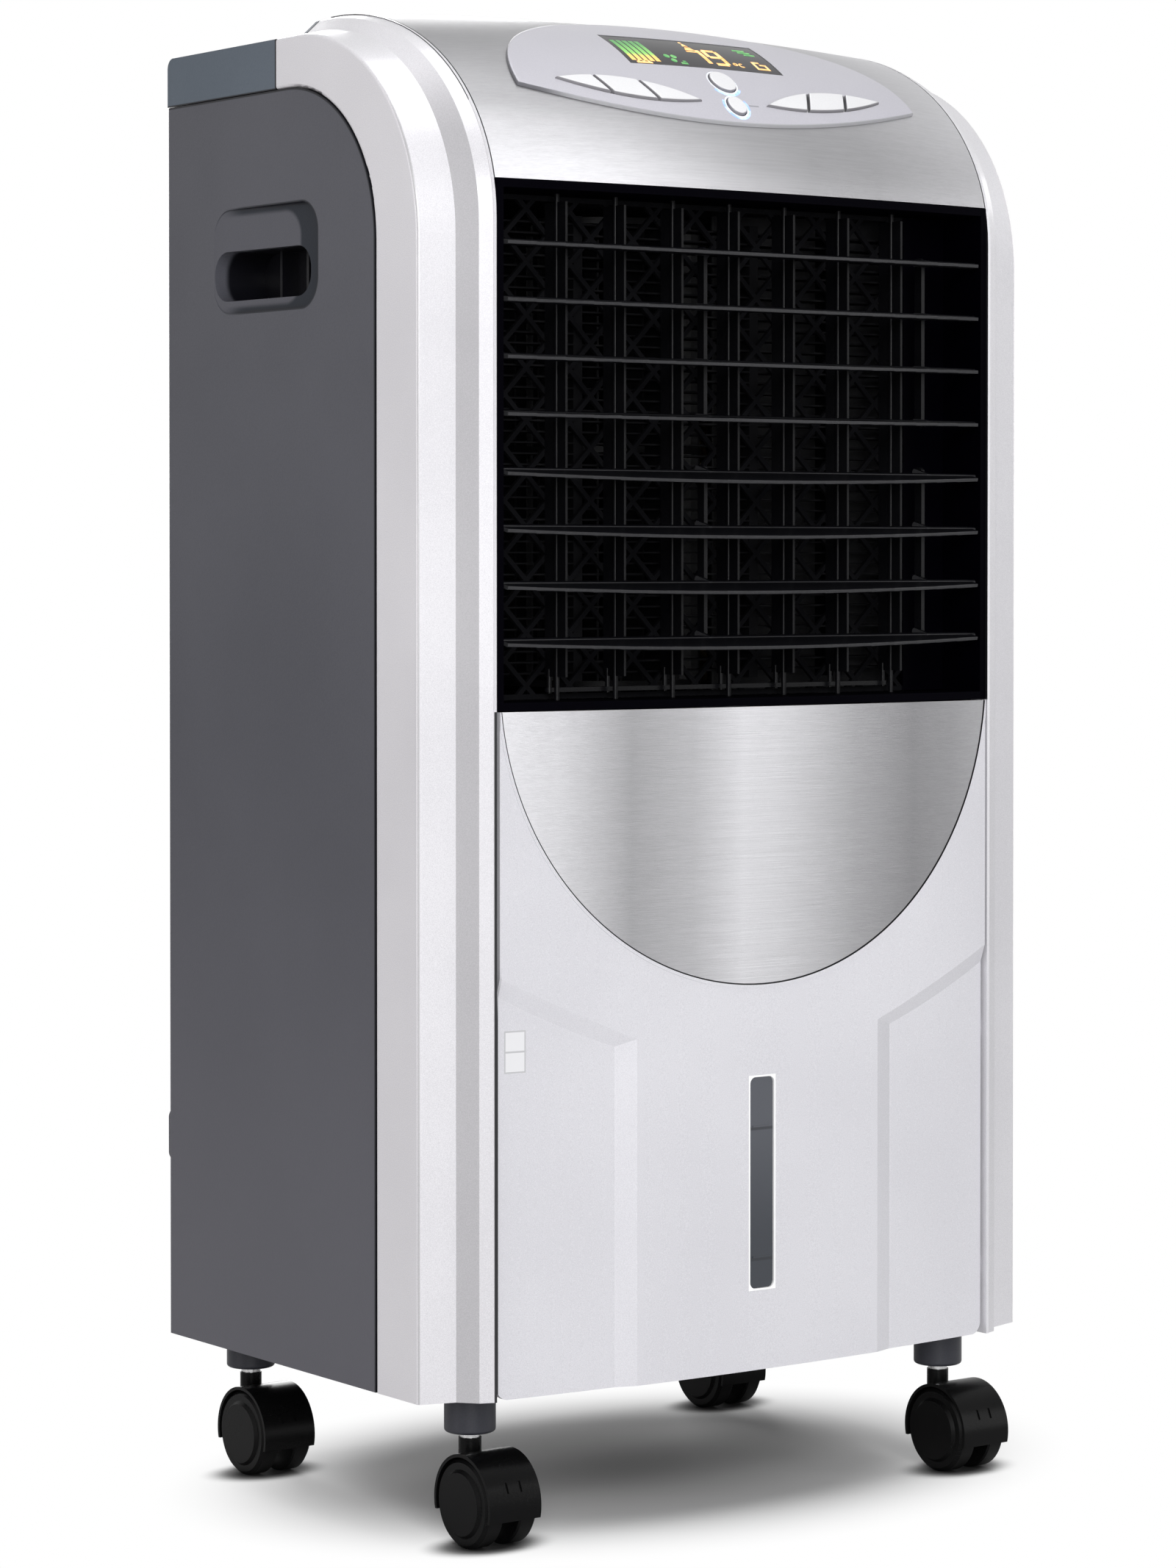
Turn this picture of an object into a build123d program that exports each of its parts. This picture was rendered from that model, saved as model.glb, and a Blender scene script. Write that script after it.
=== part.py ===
from build123d import *
import math
import os

os.makedirs("parts", exist_ok=True)

# ---------------------------------------------------------------------------
# Free-standing evaporative air cooler and heater on four twin-wheel casters.
# Millimetres, Z up, front towards -Y, floor at Z = 0, origin at the middle of
# the footprint. Driving dimensions come first; everything else follows them.
# ---------------------------------------------------------------------------

# Whole cabinet
width = 350.0  # across the two side planes
depth = 249.2  # bowed louvre fronts to the tips of the cord hooks
height = 698.9  # floor to the middle of the crowned top
caster_rise = 27.0  # tops of the wheels to the underside of the cabinet
wall = 3.0  # moulded shell thickness
seam = 0.4  # visible joint line between neighbouring mouldings
running = 0.05  # radial clearance of a pin in its hole
touch = 0.01  # reach of a search for edges on a known plane

# Stack from the front plane, the line the trims' inner crests stand on
slat_bow = 10.0  # louvre fronts ahead of the front plane
trim_step = 16.0  # front plane ahead of the side planes' front corner
side_run = 217.5  # side plane from its front corner to the back edge
hook_reach = depth - slat_bow - trim_step - side_run

# Crown of the front and top
front_crown = 7.5
top_crown = 4.5

# Side trims
trim_width = 31.5  # side plane to inner crest, across the front
trim_side = 34.0  # band on the side plane
trim_cap_gap = 118.0  # length along the top, behind the side plane's front corner
trim_lip = 8.0  # hidden lip behind the dark side panel
trim_return = 12.0  # hidden wall that turns in at the crest
crest_rise = 12.5  # crest above the side plane's top edge
shoulder_radius = 100.0  # side plane's top front corner
crest_reach = 129.8  # crest curve's half axis, front to back
crest_height = 102.0  # crest curve's half axis, up
crest_bevels = ((17.0, 5.0), (24.0, 13.0))  # inward, forward of each moulding line
side_edge_round = 1.5  # soft edge all round the side plane

# Dark side panels with finger grips
cap_height = 23.2
panel_corner = 74.5
flange_width = 22.0
grip_length = 78.6
grip_height = 23.4
grip_corner = 10.5
grip_from_corner = 94.7
grip_below_cap = 96.0  # panel's top edge down to the grip's lower edge
grip_depth = 28.0
grip_wall = 2.0
pad_length = 92.0
pad_height = 48.8
pad_corner = 14.0
pad_depth = 5.0
pad_lead = 12.4  # recess starts this far ahead of the grip
pad_drop = 5.9  # recess starts this far below the grip

grip_rib = 9.0  # height of the ribs inside the grip pocket
grip_rib_places = (-14.0, 9.5)  # behind the grip's middle

# Back of the cabinet
hook_rise = 82.0
hook_height = 26.6
hook_width = 18.0
hook_corner = 5.0
hook_post = 9.0
hook_gap = 2.2
screw_shank = 1.5
screw_head = 3.0
screw_cap = 1.4
screw_slot = 0.7
screw_length = 8.0
screw_cross = 3.6
screw_shares = (0.06, 0.32, 0.62, 0.93)  # places up the flange
gland_rise = 18.0  # above the lowest case screw
gland_collar = 9.5
gland_neck = 7.0
gland_bore = 4.0
gland_proud = 4.0
gland_length = 8.0
gland_taper = 12.0

# Outlet grille
grille_height = 235.8
grille_drop = 84.6  # crest down to the top of the opening
frame_gap = 0.5
frame_border = 3.6
frame_depth = 29.0
slat_count = 4  # in each of the two groups
slat_margin = 23.8  # opening's top edge to the first louvre
slat_foot = 27.0  # last louvre to the opening's bottom edge
slat_thick = 1.8
slat_round = 0.45
slat_end_gap = 2.0
slat_pivot_set = 5.6  # pivot line behind the front plane
slat_tail = 3.0
slat_pin = 1.5
upper_tilt = 4.5
lower_tilt = 15.0
link_radius = 8.0
link_pin = 1.1
link_width = 5.0
link_thick = 2.0
link_ear = 3.3
link_columns = (-20.0, 111.0)
vane_count = 7
vane_pitch = 32.7
vane_front = 7.5
vane_tail = 8.5
vane_thick = 1.2
vane_pin = 1.2
vane_set = 18.1
vane_foot = 10.5
vane_head = 3.8
vane_link_set = 6.0
pivot_depth = 2.6
pivot_length = 2.3
link_gap = 0.3
vane_link_lift = 3.5
motor_engage = 8.0
swing_radius = 12.0
swing_length = 18.0
guard_bar = 2.2
guard_gap = 0.35
guard_pitch = 24.0
guard_thick = 2.0
blank_width = 25.0

# Lower front panel
panel_gap = 1.5
panel_skin = 2.5
relief_depth = 3.0
relief_inner = 65.5
relief_outer = 81.4
relief_top_inner = 158.8
relief_top_outer = 154.1
relief_rise = 33.5
relief_dip = 2.5
relief_over = 0.8
panel_flange = 8.0
window_sunk = 1.0
window_flange = 4.0
window_marks = (0.148, 0.766)  # empty and full, as shares of the slot
inlay_radius = 141.5
inlay_thick = 1.1
inlay_below_top = 13.3
inlay_clearance = 0.6
lip_width = 1.5
lip_height = 0.4
window_width = 14.0
window_bottom = 37.7
window_height = 97.8
window_corner = 3.0
mark_length = 10.0
panel_toe = 6.0  # rounding of the panel's lower corners
tab_length = 3.0
tab_height = 8.0
tab_levels = (100.0, 215.0, 330.0)  # catches along each side flange

# Rear cap
cap_crest_drop = 1.9
cap_round = 5.0
cap_tongue = 8.0

# Control panel on the slope of the top cover
bezel_half = 116.0
bezel_rise = 72.0
bezel_sag = 20.5
bezel_low = -27.0
bezel_thick = 1.8
bezel_lift = 0.1
bezel_overlap = 2.5
bezel_round = 0.9
slope_reach = 18.0  # half length of the prisms that cut or fill the slope
slope_deep = 24.0  # inset below everything that is set into the slope
slope_height = 30.6  # middle of the slope below the cabinet's top
slope_back = 57.2  # middle of the slope behind the louvre fronts
slope_angle = 33.3
display_half = 45.0
display_low = -9.9
display_high = 21.2
display_ledge = 1.6
display_thick = 1.0
display_sunk = 0.25
key_bank = ((19.0, -36.5), (58.0, -23.3, -35.8), (95.0, -24.5))  # near tip, arcs, far tip
key_cuts = (47.0, 69.8)
key_cut_height = -30.5
key_slant = 0.5
key_gap = 1.6
power_key = (1.0, -21.5, 6.7, 7.3)  # centre and half axes
select_key = (0.5, -38.0, 5.0, 5.5)
key_clearance = 0.35
key_proud = 1.3
key_travel = 1.2
key_flange = 0.8
key_round = 0.8
key_strip = 10.0  # cutting strips reach this far past the bank's arcs
board_drop = 6.0
board_thick = 1.6
board_half = 72.0
board_low = -40.0
board_high = 20.0
post_radius = 3.0
post_inset = 10.0
board_parts = (4, 2)  # rows of tall components under the board
board_part_pitch = (15.0, 10.0)

# Water and air side
tray_thick = 4.0
rail_height = 4.0
deck_thick = 3.0
motor_bay = 148.0
tank_wall = 2.5
tank_headroom = 8.0
tank_set_back = 11.0
tank_side_gap = 4.0
grille_depth = 11.9
pad_thick = 22.0
pad_margin = 20.0
heater_thick = 18.0
wheel_room = 23.5
collar_radius = 11.7
collar_height = 18.0
collar_from_side = 37.0
collar_from_front = 13.6
collar_from_back = 14.5
stem_radius = 4.0
swivel_pin = 2.5

tank_round = 6.0
rail_place = 100.0
handle_below_rim = 32.0
handle_length = 92.0
handle_height = 28.0
handle_depth = 18.0
handle_round = 6.0
riser_radius = 4.0
riser_inset = 3.0
riser_bore = 2.6
riser_from_back = 24.0
riser_stub = 1.0
riser_drop = 5.0
apron_gap = 2.0
pump_width = 46.0
pump_length = 40.0
pump_height = 44.0
pump_round = 6.0
intake_count = 6
rear_gap = 1.5
rear_lift = 7.0
rear_border = 9.0
rear_pitch = 7.5
rear_bar = 2.2
rear_columns = 5
mesh_thick = 0.6
pad_inset = -0.3
pad_head = 18.0
clip_shares = (0.2, 0.8)  # places up the pad's frame
trough_lift = 8.0
trough_height = 9.0
drip_radius = 1.5
drip_pitch = 22.0
drip_count = 11
leg = 12.0
leg_place = 124.0
duct_skin = 1.2
scroll_gap = 7.0
scroll_start = 35.0
scroll_stop = 110.0
cutoff_start = -50.0
cutoff_stop = -20.0
blower_clear = 3.0
blower_pin = 3.0
blade_count = 28
blade_chord = 12.0
blade_thick = 1.2
blade_angle = 32.0
ring_width = 18.0
hub_radius = 10.0
hub_height = 12.0
motor_shaft = 4.0
shaft_engage = 40.0
motor_radius = 42.0
motor_length = 50.0
motor_bell = 12.0
bell_radius = 25.0
lug_reach = 12.0
lug_width = 16.0
groove_count = 4
heater_edge = 2.0
heater_inset = 12.0
heater_clear = 8.0
heater_bars = 5
heater_bar = 5.0
fin_pitch = 5.0
fin_thick = 0.8

# Casters
tyre_radius = 20.0
tyre_width = 9.5
hub_cap = 1.4
web_half = 4.0
hood_gap = 0.7
hood_thick = 1.5
caster_trail = 14.0
axle_radius = 2.5
tyre_edge = 1.6
hub_face = 14.0
wheel_side_gap = 0.4
hood_low = 14.5
neck_radius = 5.2
neck_gap = 2.5
neck_share = 0.88
stem_washer = 4.6
pin_lift = 7.0  # end of the swivel pin above the axle
notch_place = 3.6
notch_angle = 25.0

# ---------------------------------------------------------------------------
# Places that follow from the driving dimensions
# ---------------------------------------------------------------------------
half_width = width / 2
front_y = -depth / 2
plane_y = front_y + slat_bow
corner_y = plane_y + trim_step
back_y = corner_y + side_run
trim_end_y = corner_y + trim_cap_gap
floor_z = 2 * tyre_radius + caster_rise
crest_z = height - top_crown
side_top = crest_z - crest_rise
panel_top = side_top - cap_height
crest_x = half_width - trim_width
inner_x = half_width - wall
grille_top = crest_z - grille_drop
grille_bottom = grille_top - grille_height
deck_top = grille_bottom - motor_bay
deck_low = deck_top - deck_thick
slope_mid = (0, front_y + slope_back, height - slope_height)
slope = Plane(
    origin=slope_mid,
    x_dir=(1, 0, 0),
    z_dir=(0, -math.sin(math.radians(slope_angle)), math.cos(math.radians(slope_angle))),
)


def finish(piece, name):
    """Label a finished sub-part and write its STEP file."""
    piece.part.label = name
    export_step(piece.part, f"parts/{name}.step")


def shoulder(blend, inset=0.0, swell=0.0):
    """Centre and half axes of the cabinet's front-to-top curve.

    blend runs from 0 on the side plane to 1 on the crest; inset moves the curve
    into the cabinet; swell is the share of the crown, 1 on the centre line.
    """
    side_centre = (corner_y + shoulder_radius, side_top - shoulder_radius)
    crest_centre = (plane_y + crest_reach, crest_z - crest_height)
    centre_y = side_centre[0] + (crest_centre[0] - side_centre[0]) * blend
    centre_z = side_centre[1] + (crest_centre[1] - side_centre[1]) * blend
    reach = shoulder_radius + (crest_reach - shoulder_radius) * blend + front_crown * swell
    rise = shoulder_radius + (crest_height - shoulder_radius) * blend + top_crown * swell
    return centre_y, centre_z, reach - inset, rise - inset


def shoulder_band(blend, low, outer, inner, swell=0.0):
    """Face between two offsets of the front-to-top curve, from low up to the trim's end."""
    y, z, a, b = shoulder(blend, outer, swell)
    _, _, c, d = shoulder(blend, inner, swell)
    with BuildLine(mode=Mode.PRIVATE) as band:
        Line((y - a, low), (y - a, z))
        EllipticalCenterArc((y, z), a, b, 90, arc_size=90)
        Line((y, z + b), (trim_end_y, z + b))
        Line((trim_end_y, z + b), (trim_end_y, z + d))
        Line((trim_end_y, z + d), (y, z + d))
        EllipticalCenterArc((y, z), c, d, 90, arc_size=90)
        Line((y - c, z), (y - c, low))
        Line((y - c, low), (y - a, low))
    return make_face(band.edges(), mode=Mode.PRIVATE)


def crowned_shell(outer, inner, half, low):
    """Doubly curved sheet that follows the crowned top, between two insets."""
    with BuildPart(mode=Mode.PRIVATE) as sheet:
        for step in range(-3, 4):
            x = half * step / 3
            swell = 1 - (x / crest_x) ** 2
            with BuildSketch(Plane.YZ.offset(x)):
                add(shoulder_band(1.0, low, outer, inner, swell))
        loft()
    return sheet.part


def crown_y(x):
    """Front of the crowned panel and sill at a distance x from the centre line."""
    radius = (crest_x**2 + front_crown**2) / (2 * front_crown)
    return plane_y - front_crown + radius - math.sqrt(radius**2 - x**2)


def crowned_face(half, outer, back):
    """Plan of a crowned piece: curved front at an inset, flat back."""
    with BuildLine(mode=Mode.PRIVATE) as plan:
        ThreePointArc(
            (-half, crown_y(half) + outer), (0, crown_y(0) + outer), (half, crown_y(half) + outer)
        )
        Line((half, crown_y(half) + outer), (half, back))
        Line((half, back), (-half, back))
        Line((-half, back), (-half, crown_y(half) + outer))
    return make_face(plan.edges(), mode=Mode.PRIVATE)


def crowned_plate(half, outer, inner, low, high):
    """Crowned sheet between two insets and two heights."""
    with BuildPart(mode=Mode.PRIVATE) as sheet:
        with BuildSketch(Plane.XY.offset(low)):
            with BuildLine():
                ThreePointArc(
                    (-half, crown_y(half) + outer),
                    (0, crown_y(0) + outer),
                    (half, crown_y(half) + outer),
                )
                Line((half, crown_y(half) + outer), (half, crown_y(half) + inner))
                ThreePointArc(
                    (half, crown_y(half) + inner),
                    (0, crown_y(0) + inner),
                    (-half, crown_y(half) + inner),
                )
                Line((-half, crown_y(half) + inner), (-half, crown_y(half) + outer))
            make_face()
        extrude(amount=high - low)
    return sheet.part


# ---------------------------------------------------------------------------
# Side trims: silver mouldings that run up the front corner and over the top
# ---------------------------------------------------------------------------
with BuildPart() as side_trim_right:
    stations = [(half_width, 0.0)]
    stations += [(half_width - inward, ahead / trim_step) for inward, ahead in crest_bevels]
    stations += [(crest_x, 1.0)]
    for x, share in stations:
        with BuildSketch(Plane.YZ.offset(x)):
            add(shoulder_band(share, floor_z, 0, wall))
    loft(ruled=True)
    # Return wall at the crest
    with BuildSketch(Plane.YZ.offset(crest_x)):
        add(shoulder_band(1.0, floor_z, 0, trim_return))
    extrude(amount=panel_gap)
    # Band on the side plane, then the hidden lip that the dark panel lies on
    for face_x, set_back in ((inner_x, 0.0), (inner_x - wall, trim_lip)):
        with BuildSketch(Plane.YZ.offset(face_x)):
            with BuildLine():
                side_y, side_z, side_a, _ = shoulder(0)
                edge_y = corner_y + trim_side + set_back
                edge_z = panel_top - set_back
                turn = panel_corner - set_back
                Line((corner_y, floor_z), (corner_y, side_z))
                RadiusArc((corner_y, side_z), (side_y, side_top), side_a)
                Line((side_y, side_top), (trim_end_y, side_top))
                Line((trim_end_y, side_top), (trim_end_y, edge_z))
                Line((trim_end_y, edge_z), (edge_y + turn, edge_z))
                RadiusArc((edge_y + turn, edge_z), (edge_y, edge_z - turn), -turn)
                Line((edge_y, edge_z - turn), (edge_y, floor_z))
                Line((edge_y, floor_z), (corner_y, floor_z))
            make_face()
        extrude(amount=wall)
    rim = side_trim_right.edges().filter_by_position(Axis.X, half_width - touch, half_width + touch)
    front_edge = rim.filter_by(Axis.Z).sort_by(Axis.Y)[0]
    shoulder_edge = rim.filter_by(GeomType.CIRCLE).sort_by(SortBy.RADIUS)[-1]
    top_edge = rim.filter_by(Axis.Y).sort_by(Axis.Z)[-1]
    fillet([front_edge, shoulder_edge, top_edge], side_edge_round)

with BuildPart() as side_trim_left:
    mirror(side_trim_right.part, about=Plane.YZ)

finish(side_trim_right, "side_trim_right")
finish(side_trim_left, "side_trim_left")


# ---------------------------------------------------------------------------
# Dark side panels: finger grip in a recess that fades out to the rear, a rear
# flange for the screws, and a cord hook on the flange
# ---------------------------------------------------------------------------
def block(low, high, mode=Mode.ADD):
    """Axis-aligned block between two corners."""
    size = [high[i] - low[i] for i in range(3)]
    with Locations(tuple((low[i] + high[i]) / 2 for i in range(3))):
        Box(*size, mode=mode)


panel_front_y = corner_y + trim_side + seam
panel_edge_z = panel_top - seam
grip_y = corner_y + grip_from_corner + grip_length / 2
grip_z = panel_top - grip_below_cap + grip_height / 2
pad_y = corner_y + grip_from_corner - pad_lead
pad_z = panel_top - grip_below_cap - pad_drop
flange_x = inner_x - flange_width
flange_mid = inner_x - flange_width / 2
screw_heights = [floor_z + share * (panel_top - floor_z) for share in screw_shares]

with BuildPart() as pad_recess:
    with BuildSketch(Plane.YZ.offset(half_width - pad_depth)):
        with Locations((pad_y + pad_length / 2, pad_z + pad_height / 2)):
            RectangleRounded(pad_length, pad_height, pad_corner)
    extrude(amount=pad_depth + wall)
    split(
        bisect_by=Plane(
            origin=(half_width - pad_depth, pad_y, 0),
            x_dir=(pad_depth, pad_length, 0),
            z_dir=(pad_length, -pad_depth, 0),
        ),
        keep=Keep.TOP,
    )

with BuildPart() as side_panel_right:
    with BuildSketch(Plane.YZ.offset(inner_x)):
        with BuildLine():
            turn = panel_corner - seam
            Line((panel_front_y, floor_z), (panel_front_y, panel_edge_z - turn))
            RadiusArc(
                (panel_front_y, panel_edge_z - turn), (panel_front_y + turn, panel_edge_z), turn
            )
            Line((panel_front_y + turn, panel_edge_z), (back_y, panel_edge_z))
            Line((back_y, panel_edge_z), (back_y, floor_z))
            Line((back_y, floor_z), (panel_front_y, floor_z))
        make_face()
    extrude(amount=wall)
    fillet(side_panel_right.edges().filter_by(Axis.Z).sort_by(Axis.Y)[-1], wall / 2)
    # Rear flange
    block((flange_x, back_y - wall, floor_z), (inner_x, back_y, panel_edge_z))
    # Backing behind the recess, then the pocket behind the grip
    block(
        (half_width - pad_depth - wall, pad_y - wall, pad_z - wall),
        (inner_x, pad_y + pad_length + wall, pad_z + pad_height + wall),
    )
    block(
        (
            half_width - grip_depth - grip_wall,
            grip_y - grip_length / 2 - grip_wall,
            grip_z - grip_height / 2 - grip_wall,
        ),
        (inner_x, grip_y + grip_length / 2 + grip_wall, grip_z + grip_height / 2 + grip_wall),
    )
    add(pad_recess.part, mode=Mode.SUBTRACT)
    with BuildSketch(Plane.YZ.offset(half_width - grip_depth)):
        with Locations((grip_y, grip_z)):
            RectangleRounded(grip_length, grip_height, grip_corner)
    extrude(amount=grip_depth + wall, mode=Mode.SUBTRACT)
    # Stiffening ribs inside the grip pocket
    for place in grip_rib_places:
        rib_y = grip_y + place
        block(
            (half_width - grip_depth - grip_wall / 2, rib_y, grip_z - grip_height / 2),
            (half_width - grip_depth + grip_rib, rib_y + grip_wall, grip_z + grip_height / 2),
        )
    # Cord hook: a post and a rounded plate that stands off the flange
    hook_low = floor_z + hook_rise
    block(
        (inner_x - hook_width / 2 - hook_post / 2, back_y - wall / 2, hook_low + hook_post / 2),
        (
            inner_x - hook_width / 2 + hook_post / 2,
            back_y + hook_gap,
            hook_low + hook_height - hook_post / 2,
        ),
    )
    with BuildSketch(Plane.XZ.offset(-back_y - hook_gap)):
        with Locations((inner_x - hook_width / 2, hook_low + hook_height / 2)):
            RectangleRounded(hook_width, hook_height, hook_corner)
    extrude(amount=-(hook_reach - hook_gap))
    # Screw holes in the flange
    with BuildSketch(Plane.XZ.offset(-back_y)):
        with Locations([(flange_mid, z) for z in screw_heights]):
            Circle(screw_shank + running)
    extrude(amount=wall, mode=Mode.SUBTRACT)

with BuildPart() as side_panel_left:
    mirror(side_panel_right.part, about=Plane.YZ)

# The mains inlet passes through the right flange only
gland_z = screw_heights[0] + gland_rise
with BuildPart() as side_panel_right_bored:
    add(side_panel_right.part)
    with BuildSketch(Plane.XZ.offset(-back_y)):
        with Locations((flange_mid, gland_z)):
            Circle(gland_neck + running)
    extrude(amount=wall, mode=Mode.SUBTRACT)

finish(side_panel_right_bored, "side_panel_right")
finish(side_panel_left, "side_panel_left")

# ---------------------------------------------------------------------------
# Cord gland and the case screws
# ---------------------------------------------------------------------------
with BuildPart() as cord_gland:
    with BuildSketch(Plane.XZ.offset(-back_y)):
        with Locations((flange_mid, gland_z)):
            Circle(gland_collar)
    extrude(amount=-gland_proud, taper=gland_taper)
    with BuildSketch(Plane.XZ.offset(-back_y)):
        with Locations((flange_mid, gland_z)):
            Circle(gland_neck)
    extrude(amount=gland_length)
    with BuildSketch(Plane.XZ.offset(-back_y - gland_proud)):
        with Locations((flange_mid, gland_z)):
            Circle(gland_bore)
    extrude(amount=gland_proud + gland_length, mode=Mode.SUBTRACT)

finish(cord_gland, "cord_gland")

with BuildPart() as case_screws:
    for side in (-1, 1):
        for z in screw_heights:
            with BuildSketch(Plane.XZ.offset(-back_y)):
                with Locations((side * flange_mid, z)):
                    Circle(screw_head)
            extrude(amount=-screw_cap)
            with BuildSketch(Plane.XZ.offset(-back_y)):
                with Locations((side * flange_mid, z)):
                    Circle(screw_shank)
            extrude(amount=screw_length)
            # Cross recess in the head
            with BuildSketch(Plane.XZ.offset(-back_y - screw_cap)):
                with Locations((side * flange_mid, z)):
                    Rectangle(screw_cross, screw_slot)
                    Rectangle(screw_slot, screw_cross)
            extrude(amount=screw_cap / 2, mode=Mode.SUBTRACT)

finish(case_screws, "case_screws")

# ---------------------------------------------------------------------------
# Top cover: brushed, doubly curved, with the opening for the control panel
# ---------------------------------------------------------------------------
cover_half = crest_x - frame_gap
cover_low = grille_top + frame_gap


def bezel_outline(inset=0.0):
    """Lens outline of the control panel: half ellipse above, shallow arc below."""
    half = bezel_half - inset
    low = bezel_low
    with BuildLine(mode=Mode.PRIVATE) as outline:
        EllipticalCenterArc((0, low), half, bezel_rise - inset, 0, arc_size=180)
        ThreePointArc((-half, low), (0, low - bezel_sag + inset), (half, low))
    return make_face(outline.edges(), mode=Mode.PRIVATE)


with BuildPart() as top_cover:
    add(crowned_shell(0, wall, cover_half, grille_bottom))
    block((-width, front_y - wall, 0), (width, back_y, cover_low), mode=Mode.SUBTRACT)
    with BuildSketch(slope):
        add(bezel_outline(bezel_overlap))
    extrude(amount=slope_reach, both=True, mode=Mode.SUBTRACT)

finish(top_cover, "top_cover")

# ---------------------------------------------------------------------------
# Control panel, display, keys and circuit board, all square to the slope
# ---------------------------------------------------------------------------
def slope_piece(outline, outer, inner, foot=-slope_reach):
    """Prism square to the slope, cut to the space between two insets of the crowned top."""
    with BuildPart(mode=Mode.PRIVATE) as prism:
        with BuildSketch(slope.offset(foot)):
            add(outline)
        extrude(amount=slope_reach - foot)
        add(crowned_shell(outer, inner, cover_half, grille_bottom), mode=Mode.INTERSECT)
    return prism.part


bezel_face = -(bezel_lift + bezel_thick)
key_foot = -board_drop + key_travel + key_clearance
post_places = [(side * (display_half + post_inset), 0) for side in (-1, 1)]


def crescent(side, grow=0.0):
    """Outline of one bank of three keys, on the left (-1) or the right (1)."""
    near, middle, far = key_bank
    with BuildLine(mode=Mode.PRIVATE) as outline:
        ThreePointArc(
            (side * (near[0] - grow), near[1]),
            (side * middle[0], middle[1] + grow),
            (side * (far[0] + grow), far[1]),
        )
        ThreePointArc(
            (side * (near[0] - grow), near[1]),
            (side * middle[0], middle[2] - grow),
            (side * (far[0] + grow), far[1]),
        )
    return make_face(outline.edges(), mode=Mode.PRIVATE)


def key_band(side, number, gap):
    """Slanted strip that one key takes of its bank; number 0 is nearest the middle."""
    low, high = key_bank[1][2] - key_strip, key_bank[1][1] + key_strip
    cuts = (0.0, *key_cuts, bezel_half)
    inner = [cuts[number] + key_slant * (s - key_cut_height) + gap / 2 for s in (low, high)]
    outer = [cuts[number + 1] + key_slant * (s - key_cut_height) - gap / 2 for s in (low, high)]
    with BuildLine(mode=Mode.PRIVATE) as strip:
        Polyline(
            (side * inner[0], low),
            (side * inner[1], high),
            (side * outer[1], high),
            (side * outer[0], low),
            close=True,
        )
    return make_face(strip.edges(), mode=Mode.PRIVATE)


def display_rectangle(inset):
    """Display opening, grown or shrunk by an inset."""
    with BuildSketch(mode=Mode.PRIVATE) as opening:
        with Locations((0, (display_low + display_high) / 2)):
            Rectangle(2 * (display_half - inset), display_high - display_low - 2 * inset)
    return opening.sketch


with BuildSketch() as post_outline:
    with Locations(post_places):
        Circle(post_radius)

bezel_shape = bezel_outline()
with BuildPart() as control_panel:
    add(slope_piece(bezel_shape, bezel_face, -bezel_lift))
    top_face = control_panel.faces().sort_by(Axis(slope.origin, slope.z_dir))[-1]
    fillet(top_face.edges(), bezel_round)
    # Openings for the keys and the window, which keeps a ledge for its lens
    with BuildSketch(slope):
        add(display_rectangle(display_ledge))
        for side in (-1, 1):
            add(crescent(side, key_clearance))
        for x, s, half_x, half_s in (power_key, select_key):
            with Locations((x, s)):
                Ellipse(half_x + key_clearance, half_s + key_clearance)
    extrude(amount=slope_reach, both=True, mode=Mode.SUBTRACT)
    ledge_depth = bezel_face + display_sunk + display_thick
    add(slope_piece(display_rectangle(0), bezel_face - wall, ledge_depth), mode=Mode.SUBTRACT)
    # Posts that carry the circuit board
    add(slope_piece(post_outline.sketch, -bezel_thick / 2, slope_deep, foot=-board_drop))

finish(control_panel, "control_panel")

with BuildPart() as display_window:
    lens_face = bezel_face + display_sunk
    add(slope_piece(display_rectangle(running * 2), lens_face, lens_face + display_thick - running))

finish(display_window, "display_window")

with BuildPart() as control_board:
    with BuildSketch(slope.offset(-board_drop - board_thick)):
        with Locations((0, (board_low + board_high) / 2)):
            RectangleRounded(2 * board_half, board_high - board_low, post_radius)
    extrude(amount=board_thick)
    # Connectors and capacitors on the underside
    with BuildSketch(slope.offset(-board_drop - board_thick)):
        with Locations((-board_half / 2, board_high / 2), (board_half / 2, board_high / 2)):
            Rectangle(board_half / 3, post_inset)
        with GridLocations(*board_part_pitch, *board_parts):
            Circle(post_radius)
    extrude(amount=-2 * post_radius)

finish(control_board, "control_board")


def key(outline, skirt, name):
    """One key: a cap that follows the crown, a stem and a retaining skirt under the bezel."""
    with BuildPart() as cap:
        add(slope_piece(outline, bezel_face - key_proud, slope_deep, foot=key_foot))
        top = cap.faces().sort_by(Axis(slope.origin, slope.z_dir))[-1]
        fillet(top.edges(), key_round)
        add(slope_piece(skirt, key_clearance, key_clearance + key_flange))
    finish(cap, name)


for side, side_name in ((-1, "left"), (1, "right")):
    for number, place in enumerate(("inner", "middle", "outer")):
        with BuildSketch() as cap_outline:
            add(crescent(side))
            add(key_band(side, number, key_gap), mode=Mode.INTERSECT)
        with BuildSketch() as skirt_outline:
            add(crescent(side, key_clearance + key_flange))
            add(key_band(side, number, key_gap / 2), mode=Mode.INTERSECT)
        key(cap_outline.sketch, skirt_outline.sketch, f"{side_name}_key_{place}")

for (x, s, half_x, half_s), name in ((power_key, "power_key"), (select_key, "select_key")):
    with BuildSketch() as cap_outline:
        with Locations((x, s)):
            Ellipse(half_x, half_s)
    with BuildSketch() as skirt_outline:
        with Locations((x, s)):
            Ellipse(
                half_x + key_clearance + key_flange / 2, half_s + key_clearance + key_flange / 2
            )
    key(cap_outline.sketch, skirt_outline.sketch, name)

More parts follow.
